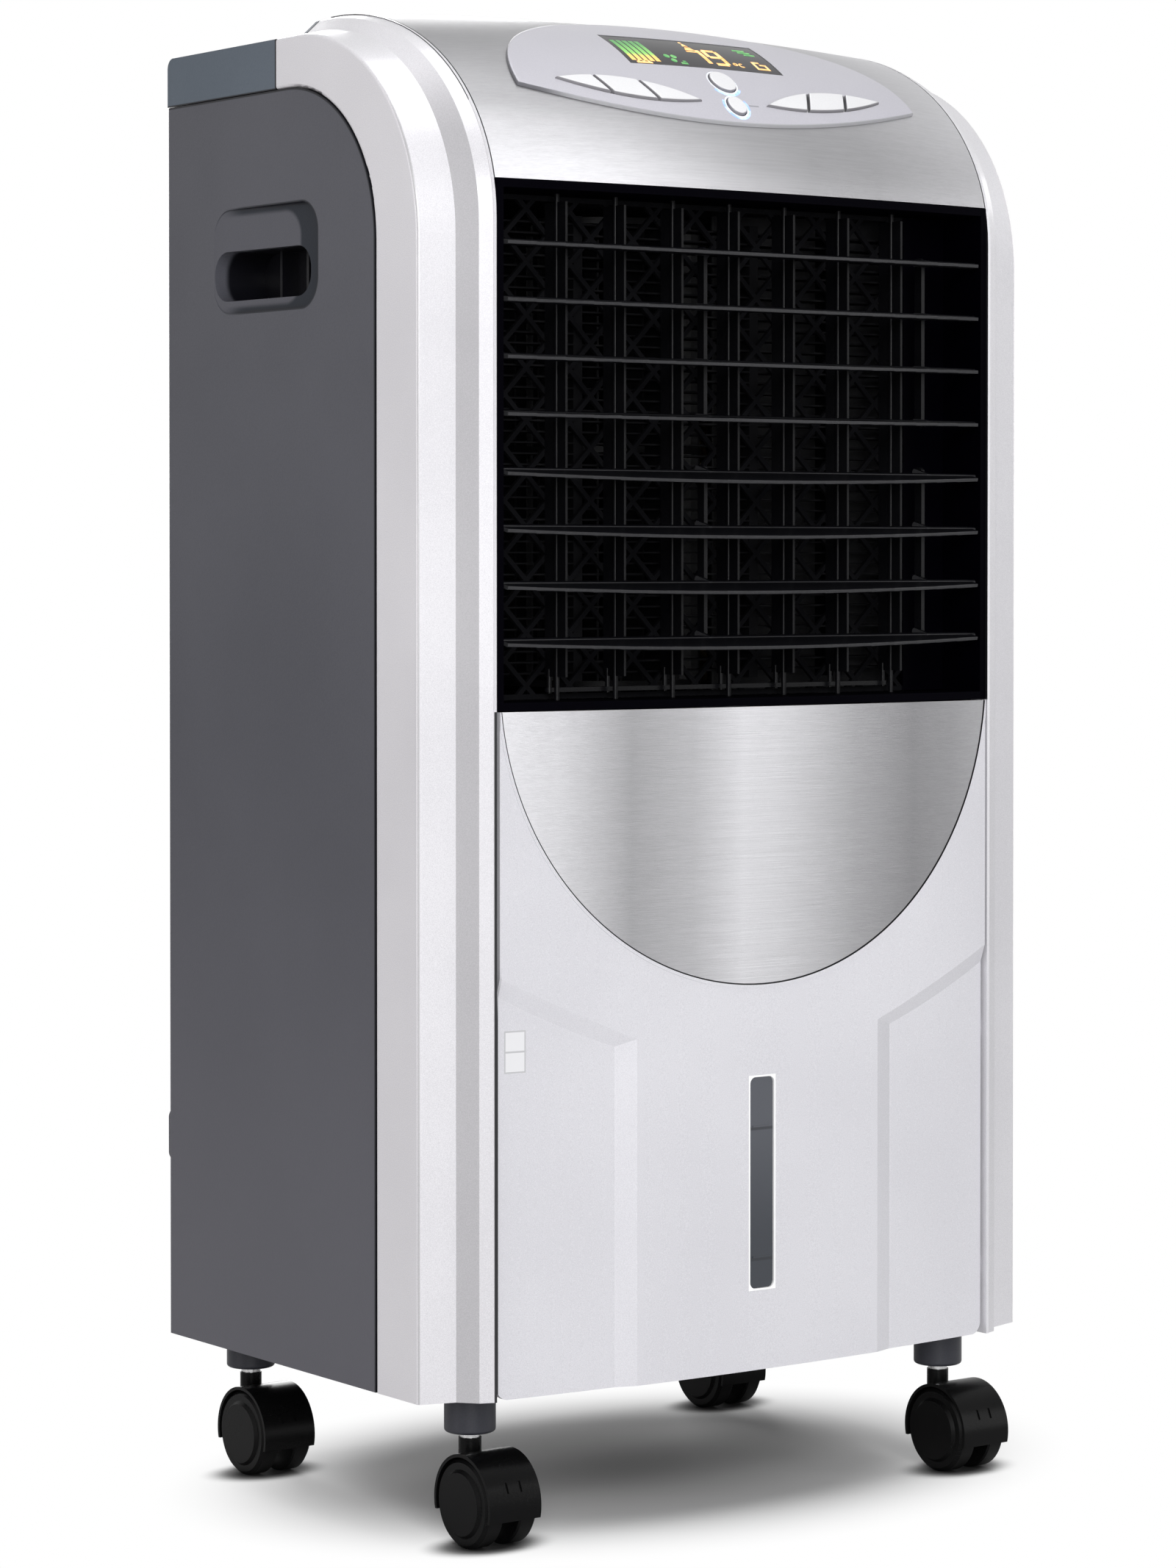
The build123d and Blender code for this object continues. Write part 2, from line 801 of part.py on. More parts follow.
# ---------------------------------------------------------------------------
# Rear cap: full-width moulding behind the top cover
# ---------------------------------------------------------------------------
cap_front_y = trim_end_y + seam
cap_length = back_y - cap_front_y


def cap_section(inset, low):
    """Cross-section of the rear cap, straight sides and a shallow crown."""
    half = half_width - inset
    with BuildLine(mode=Mode.PRIVATE) as outline:
        Line((-half, low), (-half, side_top - inset))
        ThreePointArc((-half, side_top - inset), (0, cap_crest - inset), (half, side_top - inset))
        Line((half, side_top - inset), (half, low))
        Line((half, low), (-half, low))
    return make_face(outline.edges(), mode=Mode.PRIVATE)


cap_crest = height - cap_crest_drop
with BuildPart() as rear_cap:
    with BuildSketch(Plane.XZ.offset(-back_y)):
        add(cap_section(0, panel_top))
    extrude(amount=cap_length)
    top_rear = rear_cap.edges().filter_by_position(Axis.Y, back_y - 1, back_y + 1)
    fillet(top_rear.group_by(Axis.Z)[-1], cap_round)
    with BuildSketch(Plane.XZ.offset(-back_y + wall)):
        add(cap_section(wall, panel_top - wall))
    extrude(amount=cap_length, mode=Mode.SUBTRACT)
    # Front bulkhead that closes the step up to the trims and the top cover
    with BuildSketch(Plane.XZ.offset(-cap_front_y - wall)):
        with BuildLine():
            steps = [(half_width, side_top)]
            steps += [
                (half_width - inward, side_top + crest_rise * ahead / trim_step)
                for inward, ahead in crest_bevels
            ]
            steps += [(crest_x, crest_z)]
            Polyline(*steps)
            ThreePointArc((crest_x, crest_z), (0, height), (-crest_x, crest_z))
            Polyline(*[(-x, z) for x, z in reversed(steps)])
            Line((-half_width, side_top), (-half_width, panel_top))
            Line((-half_width, panel_top), (half_width, panel_top))
            Line((half_width, panel_top), (half_width, side_top))
        make_face()
    extrude(amount=wall)
    # Tongues that locate the cap inside the side panels
    for side in (-1, 1):
        edges_x = sorted((side * (inner_x - wall), side * inner_x))
        block(
            (edges_x[0], cap_front_y + cap_tongue, panel_top - cap_tongue),
            (edges_x[1], back_y - 2 * cap_tongue, panel_top + cap_tongue),
        )

finish(rear_cap, "rear_cap")

# ---------------------------------------------------------------------------
# Lower front panel, half-disc inlay and water-level window
# ---------------------------------------------------------------------------
panel_half = crest_x - panel_gap
panel_high = grille_bottom - frame_gap
panel_back = relief_depth + panel_skin
inlay_z = grille_bottom + inlay_below_top
window_z = floor_z + window_bottom + window_height / 2


def disc_plate(radius, outer, inner):
    """Part of the crowned front inside a circle about the inlay's centre."""
    with BuildPart(mode=Mode.PRIVATE) as plate:
        with BuildSketch(Plane.XZ.offset(-corner_y)):
            with Locations((0, inlay_z)):
                Circle(radius)
        extrude(amount=depth / 2)
        add(
            crowned_plate(panel_half, outer, inner, inlay_z - radius - wall, panel_high),
            mode=Mode.INTERSECT,
        )
    return plate.part


def relief_tool():
    """Sunk field at the lower right, with bevels along its inner and upper edges."""
    middle_x = (relief_inner + panel_half) / 2 + wall
    radius = (crest_x**2 + front_crown**2) / (2 * front_crown)
    lean = math.asin(middle_x / radius)
    base = Plane(
        origin=(middle_x, crown_y(middle_x), 0),
        x_dir=(math.cos(lean), math.sin(lean), 0),
        z_dir=(math.sin(lean), -math.cos(lean), 0),
    )
    far = panel_half + relief_depth
    with BuildPart(mode=Mode.PRIVATE) as tool:
        for edge, top, level in (
            (relief_inner, relief_top_inner, relief_over),
            (relief_outer, relief_top_outer, -relief_depth - relief_over / 2),
        ):
            corner_z = floor_z + top
            end_z = corner_z + relief_rise * (far - edge) / (panel_half - relief_inner)
            with BuildSketch(base.offset(level)):
                with BuildLine():
                    Line((edge - middle_x, floor_z - wall), (edge - middle_x, corner_z))
                    ThreePointArc(
                        (edge - middle_x, corner_z),
                        ((edge + far) / 2 - middle_x, (corner_z + end_z) / 2 - relief_dip),
                        (far - middle_x, end_z),
                    )
                    Line((far - middle_x, end_z), (far - middle_x, floor_z - wall))
                    Line((far - middle_x, floor_z - wall), (edge - middle_x, floor_z - wall))
                make_face()
        loft(ruled=True)
    return tool.part


with BuildPart() as front_panel:
    # Raised face, cut down over the two sunk fields and for the inlay
    add(crowned_plate(panel_half, 0, relief_depth, floor_z, panel_high))
    right_relief = relief_tool()
    add(right_relief, mode=Mode.SUBTRACT)
    add(right_relief.mirror(Plane.YZ), mode=Mode.SUBTRACT)
    add(
        disc_plate(inlay_radius + inlay_clearance, -wall, inlay_thick + running),
        mode=Mode.SUBTRACT,
    )
    # Skin behind the whole face, and a fine lip round the inlay
    add(crowned_plate(panel_half, relief_depth, panel_back, floor_z, panel_high))
    add(disc_plate(inlay_radius + inlay_clearance + lip_width, -lip_height, relief_depth))
    add(disc_plate(inlay_radius + inlay_clearance, -wall, inlay_thick + running), mode=Mode.SUBTRACT)
    # Side flanges that stiffen the panel and catch on the trims' return walls
    for side in (-1, 1):
        edges_x = sorted((side * (panel_half - panel_skin), side * panel_half))
        block(
            (edges_x[0], crown_y(panel_half) + relief_depth, floor_z),
            (edges_x[1], crown_y(panel_half) + panel_flange, panel_high),
        )
    # Rounded lower corners, the slot for the water window, then the catches
    with BuildSketch(Plane.XZ.offset(-corner_y)) as outline:
        with Locations((0, (floor_z + panel_high) / 2)):
            Rectangle(2 * panel_half, panel_high - floor_z)
        fillet(outline.vertices().group_by(Axis.Y)[0], panel_toe)
        with Locations((0, window_z)):
            RectangleRounded(window_width, window_height, window_corner, mode=Mode.SUBTRACT)
    extrude(amount=depth / 2, mode=Mode.INTERSECT)
    for side in (-1, 1):
        for level in tab_levels:
            edges_x = sorted((side * panel_half, side * crest_x))
            tab_y = crown_y(panel_half) + panel_flange
            block(
                (edges_x[0], tab_y - tab_length, level - tab_height / 2),
                (edges_x[1], tab_y, level + tab_height / 2),
            )

finish(front_panel, "front_panel")

with BuildPart() as front_inlay:
    add(disc_plate(inlay_radius, 0, inlay_thick))

finish(front_inlay, "front_inlay")


def window_slab(grow, outer, inner):
    """Crowned slab with the outline of the window slot, grown all round."""
    with BuildPart(mode=Mode.PRIVATE) as slab:
        with BuildSketch(Plane.XZ.offset(-corner_y)):
            with Locations((0, window_z)):
                RectangleRounded(
                    window_width + 2 * grow, window_height + 2 * grow, window_corner + grow
                )
        extrude(amount=depth / 2)
        add(crowned_plate(window_width, outer, inner, floor_z, inlay_z), mode=Mode.INTERSECT)
    return slab.part


with BuildPart() as level_window:
    # Lens in the slot, recessed a little, with a wider flange behind the panel
    flange_face = panel_back + running
    add(window_slab(-2 * running, window_sunk, flange_face))
    add(window_slab(window_flange, flange_face, flange_face + panel_skin))
    # Full and empty marks
    for share in window_marks:
        mark_z = floor_z + window_bottom + share * window_height
        block(
            (-mark_length / 2, crown_y(0) + window_sunk - lip_height, mark_z - lip_height),
            (mark_length / 2, crown_y(0) + window_sunk + lip_height, mark_z + lip_height),
        )

finish(level_window, "level_window")

# ---------------------------------------------------------------------------
# Outlet: frame with its diagonal guard, louvres, link bars and swing vanes
# ---------------------------------------------------------------------------
frame_half = crest_x - frame_gap
opening_half = frame_half - frame_border
sill_z = grille_bottom + frame_border
lintel_z = grille_top - frame_border
frame_front = 1.0
frame_back_y = plane_y + frame_depth + frame_front
slat_y = plane_y + slat_pivot_set
vane_y = plane_y + vane_set
slat_half = opening_half - slat_end_gap
slat_pitch = (lintel_z - sill_z - slat_margin - slat_foot) / (2 * slat_count - 1)
slat_levels = [lintel_z - slat_margin - slat_pitch * i for i in range(2 * slat_count)]
vane_places = [vane_pitch * (i - (vane_count - 1) / 2) for i in range(vane_count)]
guard_half = opening_half - guard_gap
guard_rise = lintel_z - sill_z - 2 * guard_gap
guard_bars = 2 * math.ceil((guard_half + guard_rise / 2) / guard_pitch) + 1

with BuildSketch(mode=Mode.PRIVATE) as guard_outline:
    with Locations((0, (sill_z + lintel_z) / 2)):
        Rectangle(2 * guard_half, guard_rise)
        Rectangle(2 * (guard_half - guard_bar), guard_rise - 2 * guard_bar, mode=Mode.SUBTRACT)

with BuildPart() as outlet_frame:
    with BuildSketch(Plane.XY.offset(grille_bottom)):
        add(crowned_face(frame_half, frame_front, frame_back_y))
    extrude(amount=grille_height)
    block(
        (-opening_half, front_y - wall, sill_z),
        (opening_half, frame_back_y + wall, lintel_z),
        mode=Mode.SUBTRACT,
    )
    # Guard plate set into the back with a gap all round: rim, diagonal bars, and a
    # blank field at the right
    with BuildSketch(Plane.XZ.offset(-frame_back_y)):
        with Locations((0, (sill_z + lintel_z) / 2)):
            for lean in (-45, 45):
                with GridLocations(guard_pitch, 1, guard_bars, 1):
                    Rectangle(guard_bar, 2 * grille_height, rotation=lean)
            Rectangle(2 * guard_half, guard_rise, mode=Mode.INTERSECT)
            with Locations((guard_half - blank_width / 2, 0)):
                Rectangle(blank_width, guard_rise)
        add(guard_outline.sketch)
    extrude(amount=guard_thick)
    # Pivot holes for the louvres in both side walls
    for side in (-1, 1):
        with BuildSketch(Plane.YZ.offset(side * opening_half)):
            with Locations([(slat_y, z) for z in slat_levels]):
                Circle(slat_pin + running)
        extrude(amount=side * pivot_depth, mode=Mode.SUBTRACT)
    # Pivot holes for the vanes; the middle one goes through to the swing motor
    for level, way in ((sill_z, -1), (lintel_z, 1)):
        with BuildSketch(Plane.XY.offset(level)):
            with Locations([(x, vane_y) for x in vane_places]):
                Circle(vane_pin + running)
        extrude(amount=way * pivot_depth, mode=Mode.SUBTRACT)
    with BuildSketch(Plane.XY.offset(sill_z)):
        with Locations((0, vane_y)):
            Circle(vane_pin + running)
    extrude(amount=-2 * frame_border, mode=Mode.SUBTRACT)

finish(outlet_frame, "outlet_frame")


def link_pin_place(z, tilt):
    """Pin behind a louvre's pivot, in the Y and Z of a side view."""
    return (
        slat_y + link_radius * math.cos(math.radians(tilt)),
        z + link_radius * math.sin(math.radians(tilt)),
    )


def louvre(z, tilt, name):
    """Crescent louvre with its spine, end pivots, and an ear and pin for each link bar."""
    lean = math.radians(tilt)
    level = Plane(
        origin=(0, slat_y, z), x_dir=(1, 0, 0), z_dir=(0, -math.sin(lean), math.cos(lean))
    )
    nose = (slat_y - front_y) / math.cos(math.radians(upper_tilt))
    with BuildPart() as slat:
        with BuildSketch(level.offset(-slat_thick / 2)):
            with BuildLine():
                ThreePointArc(
                    (-slat_half, -slat_pivot_set), (0, -nose), (slat_half, -slat_pivot_set)
                )
                Polyline(
                    (slat_half, -slat_pivot_set),
                    (slat_half, slat_tail),
                    (-slat_half, slat_tail),
                    (-slat_half, -slat_pivot_set),
                )
            make_face()
        extrude(amount=slat_thick)
        nose_edges = slat.edges().filter_by(GeomType.CIRCLE)
        fillet(nose_edges, slat_round)
        with BuildSketch(Plane.YZ.offset(-slat_half - slat_end_gap - pivot_length)):
            with Locations((slat_y, z)):
                Circle(slat_pin)
        extrude(amount=2 * (slat_half + slat_end_gap + pivot_length))
        for column in link_columns:
            with BuildSketch(Plane.YZ.offset(column - link_gap - link_thick)):
                with Locations(
                    (
                        slat_y + link_radius / 2 * math.cos(lean),
                        z + link_radius / 2 * math.sin(lean),
                    )
                ):
                    SlotCenterToCenter(link_radius, link_ear, rotation=tilt)
            extrude(amount=link_thick)
            with BuildSketch(Plane.YZ.offset(column - link_thick)):
                with Locations(link_pin_place(z, tilt)):
                    Circle(link_pin)
            extrude(amount=2 * link_thick + 2 * link_gap)
    finish(slat, name)


def link_bars(levels, tilt, name):
    """Pair of upright bars that tie one group of louvres together."""
    pins = [link_pin_place(z, tilt) for z in levels]
    middle = ((pins[0][0] + pins[-1][0]) / 2, (pins[0][1] + pins[-1][1]) / 2)
    with BuildPart() as bars:
        for column in link_columns:
            with BuildSketch(Plane.YZ.offset(column)):
                with Locations(middle):
                    SlotCenterToCenter(pins[0][1] - pins[-1][1], link_width, rotation=90)
                with Locations(pins):
                    Circle(link_pin + running, mode=Mode.SUBTRACT)
            extrude(amount=link_thick)
    finish(bars, name)


for group, tilt, first in (("upper", upper_tilt, 0), ("lower", lower_tilt, slat_count)):
    group_levels = slat_levels[first : first + slat_count]
    for number, z in enumerate(group_levels, start=1):
        louvre(z, tilt, f"{group}_louvre_{number}")
    link_bars(group_levels, tilt, f"{group}_link_bars")

vane_low = sill_z + vane_foot
vane_high = lintel_z - vane_head
link_low = sill_z + vane_link_lift

for number, x in enumerate(vane_places, start=1):
    driven = x == 0
    foot = grille_bottom - motor_engage if driven else sill_z - pivot_length
    with BuildPart() as vane:
        with BuildSketch(Plane.XY.offset(foot)):
            with Locations((x, vane_y)):
                Circle(vane_pin)
        extrude(amount=lintel_z + pivot_length - foot)
        with BuildSketch(Plane.XY.offset(vane_low)):
            with Locations((x, vane_y + (vane_tail - vane_front) / 2)):
                Rectangle(vane_thick, vane_front + vane_tail)
        extrude(amount=vane_high - vane_low)
        with BuildSketch(Plane.XY.offset(link_low - link_gap * 2)):
            with Locations((x, vane_y + vane_link_set)):
                Circle(link_pin)
        extrude(amount=vane_low - link_low + 2 * link_thick)
    finish(vane, f"swing_vane_{number}")

with BuildPart() as vane_link_bar:
    with BuildSketch(Plane.XY.offset(link_low)):
        with Locations((0, vane_y + vane_link_set)):
            SlotCenterToCenter(vane_places[-1] - vane_places[0], link_width - 1)
        with Locations([(x, vane_y + vane_link_set) for x in vane_places]):
            Circle(link_pin + running, mode=Mode.SUBTRACT)
    extrude(amount=link_thick)

finish(vane_link_bar, "vane_link_bar")

with BuildPart() as swing_motor:
    with BuildSketch(Plane.XY.offset(grille_bottom)):
        with Locations((0, vane_y)):
            Circle(swing_radius)
    extrude(amount=-swing_length)
    with BuildSketch(Plane.XY.offset(grille_bottom)):
        with Locations((0, vane_y)):
            SlotCenterToCenter(2 * swing_radius + link_width, 2 * link_width)
    extrude(amount=-link_thick)
    with BuildSketch(Plane.XY.offset(grille_bottom)):
        with Locations((0, vane_y)):
            Circle(vane_pin + running)
    extrude(amount=-motor_engage - link_thick, mode=Mode.SUBTRACT)

finish(swing_motor, "swing_motor")

# ---------------------------------------------------------------------------
# Base tray with the four caster collars
# ---------------------------------------------------------------------------
caster_x = half_width - collar_from_side
caster_ys = (corner_y + collar_from_front, back_y - collar_from_back)
caster_places = [(side * caster_x, y) for y in caster_ys for side in (-1, 1)]
collar_low = floor_z - collar_height
tray_top = floor_z + tray_thick
rear_inner_y = back_y - wall
lip_end_y = corner_y + trim_side + trim_lip + seam
tongue_half = crest_x - trim_return
tray_front_y = crown_y(tongue_half) + panel_back + wall

with BuildPart() as base_tray:
    block((-inner_x, lip_end_y, floor_z), (inner_x, rear_inner_y, tray_top))
    block(
        (-inner_x + wall, corner_y + panel_back, floor_z),
        (inner_x - wall, lip_end_y, tray_top),
    )
    block(
        (-tongue_half, tray_front_y, floor_z), (tongue_half, corner_y + panel_back, tray_top)
    )
    for side in (-1, 1):
        rail_x = side * rail_place
        block(
            (rail_x - wall, tray_front_y + wall, floor_z),
            (rail_x + wall, rear_inner_y, tray_top + rail_height),
        )
    with BuildSketch(Plane.XY.offset(collar_low)):
        with Locations(caster_places):
            Circle(collar_radius)
    extrude(amount=collar_height)
    fillet(base_tray.edges().filter_by(GeomType.CIRCLE).group_by(Axis.Z)[0], wall / 2)
    with BuildSketch(Plane.XY.offset(collar_low)):
        with Locations(caster_places):
            Circle(stem_radius + running)
    extrude(amount=collar_height + tray_thick, mode=Mode.SUBTRACT)

finish(base_tray, "base_tray")

# ---------------------------------------------------------------------------
# Water tank that slides out at the back, with its pump
# ---------------------------------------------------------------------------
tank_low = tray_top + rail_height + seam
tank_high = deck_low - tank_headroom
tank_half = flange_x - tank_side_gap
tank_front_y = plane_y + tank_set_back
handle_z = tank_high - handle_below_rim

with BuildPart() as water_tank:
    block((-tank_half, tank_front_y, tank_low), (tank_half, back_y, tank_high))
    fillet(water_tank.edges().filter_by(Axis.Z), tank_round)
    with BuildSketch(Plane.XY.offset(tank_low + tank_wall)):
        with Locations((0, (tank_front_y + back_y) / 2)):
            RectangleRounded(
                2 * (tank_half - tank_wall),
                back_y - tank_front_y - 2 * tank_wall,
                tank_round - tank_wall / 2,
            )
    extrude(amount=tank_high, mode=Mode.SUBTRACT)
    # Recessed pull in the rear wall
    for grow, out, mode in ((grip_wall, -tank_wall / 2, Mode.ADD), (0, wall, Mode.SUBTRACT)):
        with BuildSketch(Plane.XZ.offset(-back_y + handle_depth + grow)):
            with Locations((0, handle_z)):
                RectangleRounded(
                    handle_length + 2 * grow, handle_height + 2 * grow, handle_round + grow
                )
        extrude(amount=-(handle_depth + grow + out), mode=mode)

finish(water_tank, "water_tank")

pump_low = tank_low + tank_wall
riser_x = -(tank_half - tank_wall - riser_radius - riser_inset)
riser_y = back_y - riser_from_back
with BuildPart() as water_pump:
    pump_x = riser_x - riser_radius + pump_width / 2
    with BuildSketch(Plane.XY.offset(pump_low)):
        with Locations((pump_x, riser_y - wall)):
            RectangleRounded(pump_width, pump_length, pump_round)
    extrude(amount=pump_height)
    # Intake slots in the pump's foot
    with BuildSketch(Plane.XZ.offset(-riser_y + wall + pump_length / 2)):
        with Locations((pump_x, pump_low + pump_round)):
            with GridLocations(pump_round, 1, intake_count, 1):
                SlotOverall(2 * pump_round, wall / 2, rotation=90)
    extrude(amount=-wall, mode=Mode.SUBTRACT)
    with BuildSketch(Plane.XY.offset(pump_low + pump_height / 2)):
        with Locations((riser_x, riser_y)):
            Circle(riser_radius)
    extrude(amount=tank_high + riser_stub - pump_low - pump_height / 2)
    with BuildSketch(Plane.XY.offset(tank_high + riser_stub)):
        with Locations((riser_x, riser_y)):
            Circle(riser_bore)
    extrude(amount=-pump_height, mode=Mode.SUBTRACT)

finish(water_pump, "water_pump")

# ---------------------------------------------------------------------------
# Rear grille with its dust mesh, and the cooling pad that it holds
# ---------------------------------------------------------------------------
rear_half = flange_x - rear_gap
rear_low = deck_top + rear_lift
rear_high = panel_top - wall
rear_y = back_y - grille_depth

with BuildPart() as rear_grille:
    with BuildSketch(Plane.XZ.offset(-back_y)):
        with Locations((0, (rear_low + rear_high) / 2)):
            RectangleRounded(2 * rear_half, rear_high - rear_low, pad_corner / 2)
            slot_rows = math.floor((rear_high - rear_low - 2 * rear_border) / rear_pitch)
            slot_length = 2 * (rear_half - rear_border) / rear_columns
            with GridLocations(slot_length, rear_pitch, rear_columns, slot_rows):
                Rectangle(slot_length - rear_bar * 2, rear_pitch - rear_bar, mode=Mode.SUBTRACT)
    extrude(amount=wall)
    # Rim that stands into the cabinet round the pad
    with BuildSketch(Plane.XZ.offset(-back_y)):
        with Locations((0, (rear_low + rear_high) / 2)):
            RectangleRounded(2 * rear_half, rear_high - rear_low, pad_corner / 2)
            Rectangle(
                2 * (rear_half - rear_border / 2),
                rear_high - rear_low - rear_border,
                mode=Mode.SUBTRACT,
            )
    extrude(amount=grille_depth)
    # Dust mesh stretched inside the rim
    block(
        (-rear_half + rear_border / 2, back_y - wall - mesh_thick, rear_low + rear_border / 2),
        (rear_half - rear_border / 2, back_y - wall, rear_high - rear_border / 2),
    )

finish(rear_grille, "rear_grille")

pad_half = rear_half - pad_margin
pad_low = rear_low + pad_margin / 2
pad_high = rear_high - pad_head
pad_back_y = rear_y + pad_inset
pad_front_y = pad_back_y - pad_thick
with BuildPart() as cooling_pad:
    block((-pad_half, pad_front_y, pad_low), (pad_half, pad_back_y, pad_high))
    # Frame round the pad, with clips that reach the grille's rim
    with BuildSketch(Plane.XZ.offset(-pad_back_y)):
        with Locations((0, (pad_low + pad_high) / 2)):
            Rectangle(2 * (pad_half + wall), pad_high - pad_low + 2 * wall)
            Rectangle(
                2 * (pad_half - 2 * wall), pad_high - pad_low - 4 * wall, mode=Mode.SUBTRACT
            )
    extrude(amount=pad_thick)
    for side in (-1, 1):
        for share in clip_shares:
            edges_x = sorted((side * pad_half, side * (rear_half - rear_border / 2)))
            clip_z = pad_low + share * (pad_high - pad_low)
            block(
                (edges_x[0], pad_back_y - wall, clip_z - pad_margin / 2),
                (edges_x[1], pad_back_y, clip_z + pad_margin / 2),
            )

finish(cooling_pad, "cooling_pad")

# ---------------------------------------------------------------------------
# Blower: housing on a deck over the tank, cross-flow wheel, motor, heater
# ---------------------------------------------------------------------------
heater_back_y = frame_back_y + heater_thick
duct_front_y = heater_back_y + wall / 3
duct_back_y = pad_front_y - wall / 2
blower_y = (duct_front_y + duct_back_y) / 2
blower_radius = (duct_back_y - duct_front_y) / 2 - wheel_room
duct_half = opening_half - frame_gap
blower_low = sill_z + blower_clear
blower_high = lintel_z - blower_clear
plate_low = sill_z - wall


def round_wheel(side, angle):
    """Point on the scroll round the wheel, at an angle from the side towards the back."""
    radius = blower_radius + scroll_gap
    lean = math.radians(angle)
    return (side * radius * math.cos(lean), blower_y + radius * math.sin(lean))


with BuildPart() as blower_housing:
    # Deck, with an apron that closes the back between the tank and the grille
    block((-inner_x, lip_end_y, deck_low), (inner_x, rear_inner_y, deck_top))
    block(
        (-flange_x + rear_gap, rear_inner_y, tank_high + apron_gap),
        (flange_x - rear_gap, back_y, rear_low - apron_gap),
    )
    block((-inner_x + wall, corner_y + wall, deck_low), (inner_x - wall, lip_end_y, deck_top))
    # Legs up to the floor of the blower
    for leg_x in (-leg_place, leg_place):
        for leg_y in (duct_front_y + leg / 2, duct_back_y - leg / 2):
            block(
                (leg_x - leg / 2, leg_y - leg / 2, deck_low),
                (leg_x + leg / 2, leg_y + leg / 2, sill_z),
            )
    # Floor and roof of the blower
    block((-duct_half, duct_front_y, plate_low), (duct_half, duct_back_y, sill_z))
    block((-duct_half, duct_front_y, lintel_z), (duct_half, duct_back_y, lintel_z + wall))
    # Scroll wall on the left, cut-off wall on the right
    for side, start, stop in ((-1, scroll_start, scroll_stop), (1, cutoff_start, cutoff_stop)):
        with BuildSketch(Plane.XY.offset(sill_z)):
            with BuildLine():
                Line((side * duct_half, duct_front_y), round_wheel(side, start))
                ThreePointArc(
                    round_wheel(side, start),
                    round_wheel(side, (start + stop) / 2),
                    round_wheel(side, stop),
                )
                offset(amount=duct_skin, side=Side.BOTH, closed=True)
            make_face()
        extrude(amount=lintel_z - sill_z)
    # Riser and drip trough above the pad
    with BuildSketch(Plane.XY.offset(deck_low - riser_drop)):
        with Locations((riser_x, riser_y)):
            Circle(riser_radius)
    extrude(amount=pad_high + trough_lift - deck_low + riser_drop)
    block(
        (riser_x - riser_radius, pad_front_y, pad_high + trough_lift - wall),
        (-riser_x, pad_back_y, pad_high + trough_lift + trough_height),
    )
    block(
        (riser_x, pad_front_y + wall / 2, pad_high + trough_lift),
        (-riser_x - wall, pad_back_y - wall / 2, pad_high + trough_lift + trough_height),
        mode=Mode.SUBTRACT,
    )
    with BuildSketch(Plane.XY.offset(deck_low - riser_drop)):
        with Locations((riser_x, riser_y)):
            Circle(riser_bore)
    extrude(amount=pad_high + trough_lift - deck_low + riser_drop, mode=Mode.SUBTRACT)
    with BuildSketch(Plane.XY.offset(pad_high + trough_lift)):
        with Locations((0, (pad_front_y + pad_back_y) / 2)):
            with GridLocations(drip_pitch, 1, drip_count, 1):
                Circle(drip_radius)
    extrude(amount=-wall, mode=Mode.SUBTRACT)
    # Bearing holes of the wheel
    with BuildSketch(Plane.XY.offset(lintel_z)):
        with Locations((0, blower_y)):
            Circle(blower_pin + running)
    extrude(amount=wall, mode=Mode.SUBTRACT)
    with BuildSketch(Plane.XY.offset(plate_low)):
        with Locations((0, blower_y)):
            Circle(2 * motor_shaft)
    extrude(amount=wall, mode=Mode.SUBTRACT)

finish(blower_housing, "blower_housing")

with BuildPart() as blower_wheel:
    with BuildSketch(Plane.XY.offset(blower_low)):
        with Locations((0, blower_y)):
            with PolarLocations(blower_radius - blade_chord / 2, blade_count):
                Rectangle(blade_chord, blade_thick, rotation=blade_angle)
    extrude(amount=blower_high - blower_low)
    # End discs, middle ring, hub, shaft and top pin
    middle_z = (blower_low + blower_high) / 2
    for level in (blower_low, middle_z, blower_high - wall):
        with BuildSketch(Plane.XY.offset(level)):
            with Locations((0, blower_y)):
                Circle(blower_radius)
                if level == middle_z:
                    Circle(blower_radius - ring_width, mode=Mode.SUBTRACT)
        extrude(amount=wall)
    for low, high, radius in (
        (plate_low - shaft_engage, blower_low + wall, motor_shaft),
        (blower_low, blower_low + hub_height, hub_radius),
        (blower_high - wall, lintel_z + wall - link_gap, blower_pin),
    ):
        with BuildSketch(Plane.XY.offset(low)):
            with Locations((0, blower_y)):
                Circle(radius)
        extrude(amount=high - low)

finish(blower_wheel, "blower_wheel")

with BuildPart() as fan_motor:
    for low, high, radius in (
        (plate_low - motor_length, plate_low - wall, motor_radius),
        (plate_low - motor_length - motor_bell, plate_low - motor_length, bell_radius),
    ):
        with BuildSketch(Plane.XY.offset(low)):
            with Locations((0, blower_y)):
                Circle(radius)
        extrude(amount=high - low)
    # Mounting lugs against the floor of the blower
    with BuildSketch(Plane.XY.offset(plate_low - wall)):
        with Locations((0, blower_y)):
            Circle(motor_radius)
            for turn in (-45, 45):
                SlotOverall(2 * (motor_radius + lug_reach), lug_width, rotation=turn)
    extrude(amount=wall)
    # Cooling grooves round the case
    for i in range(groove_count):
        level = plate_low - motor_length + motor_length * (i + 1) / (groove_count + 2)
        with BuildSketch(Plane.XY.offset(level)):
            with Locations((0, blower_y)):
                Circle(motor_radius + wall)
                Circle(motor_radius - blade_thick, mode=Mode.SUBTRACT)
        extrude(amount=wall, mode=Mode.SUBTRACT)
    with BuildSketch(Plane.XY.offset(plate_low)):
        with Locations((0, blower_y)):
            Circle(motor_shaft + running)
    extrude(amount=-shaft_engage - wall, mode=Mode.SUBTRACT)

finish(fan_motor, "fan_motor")

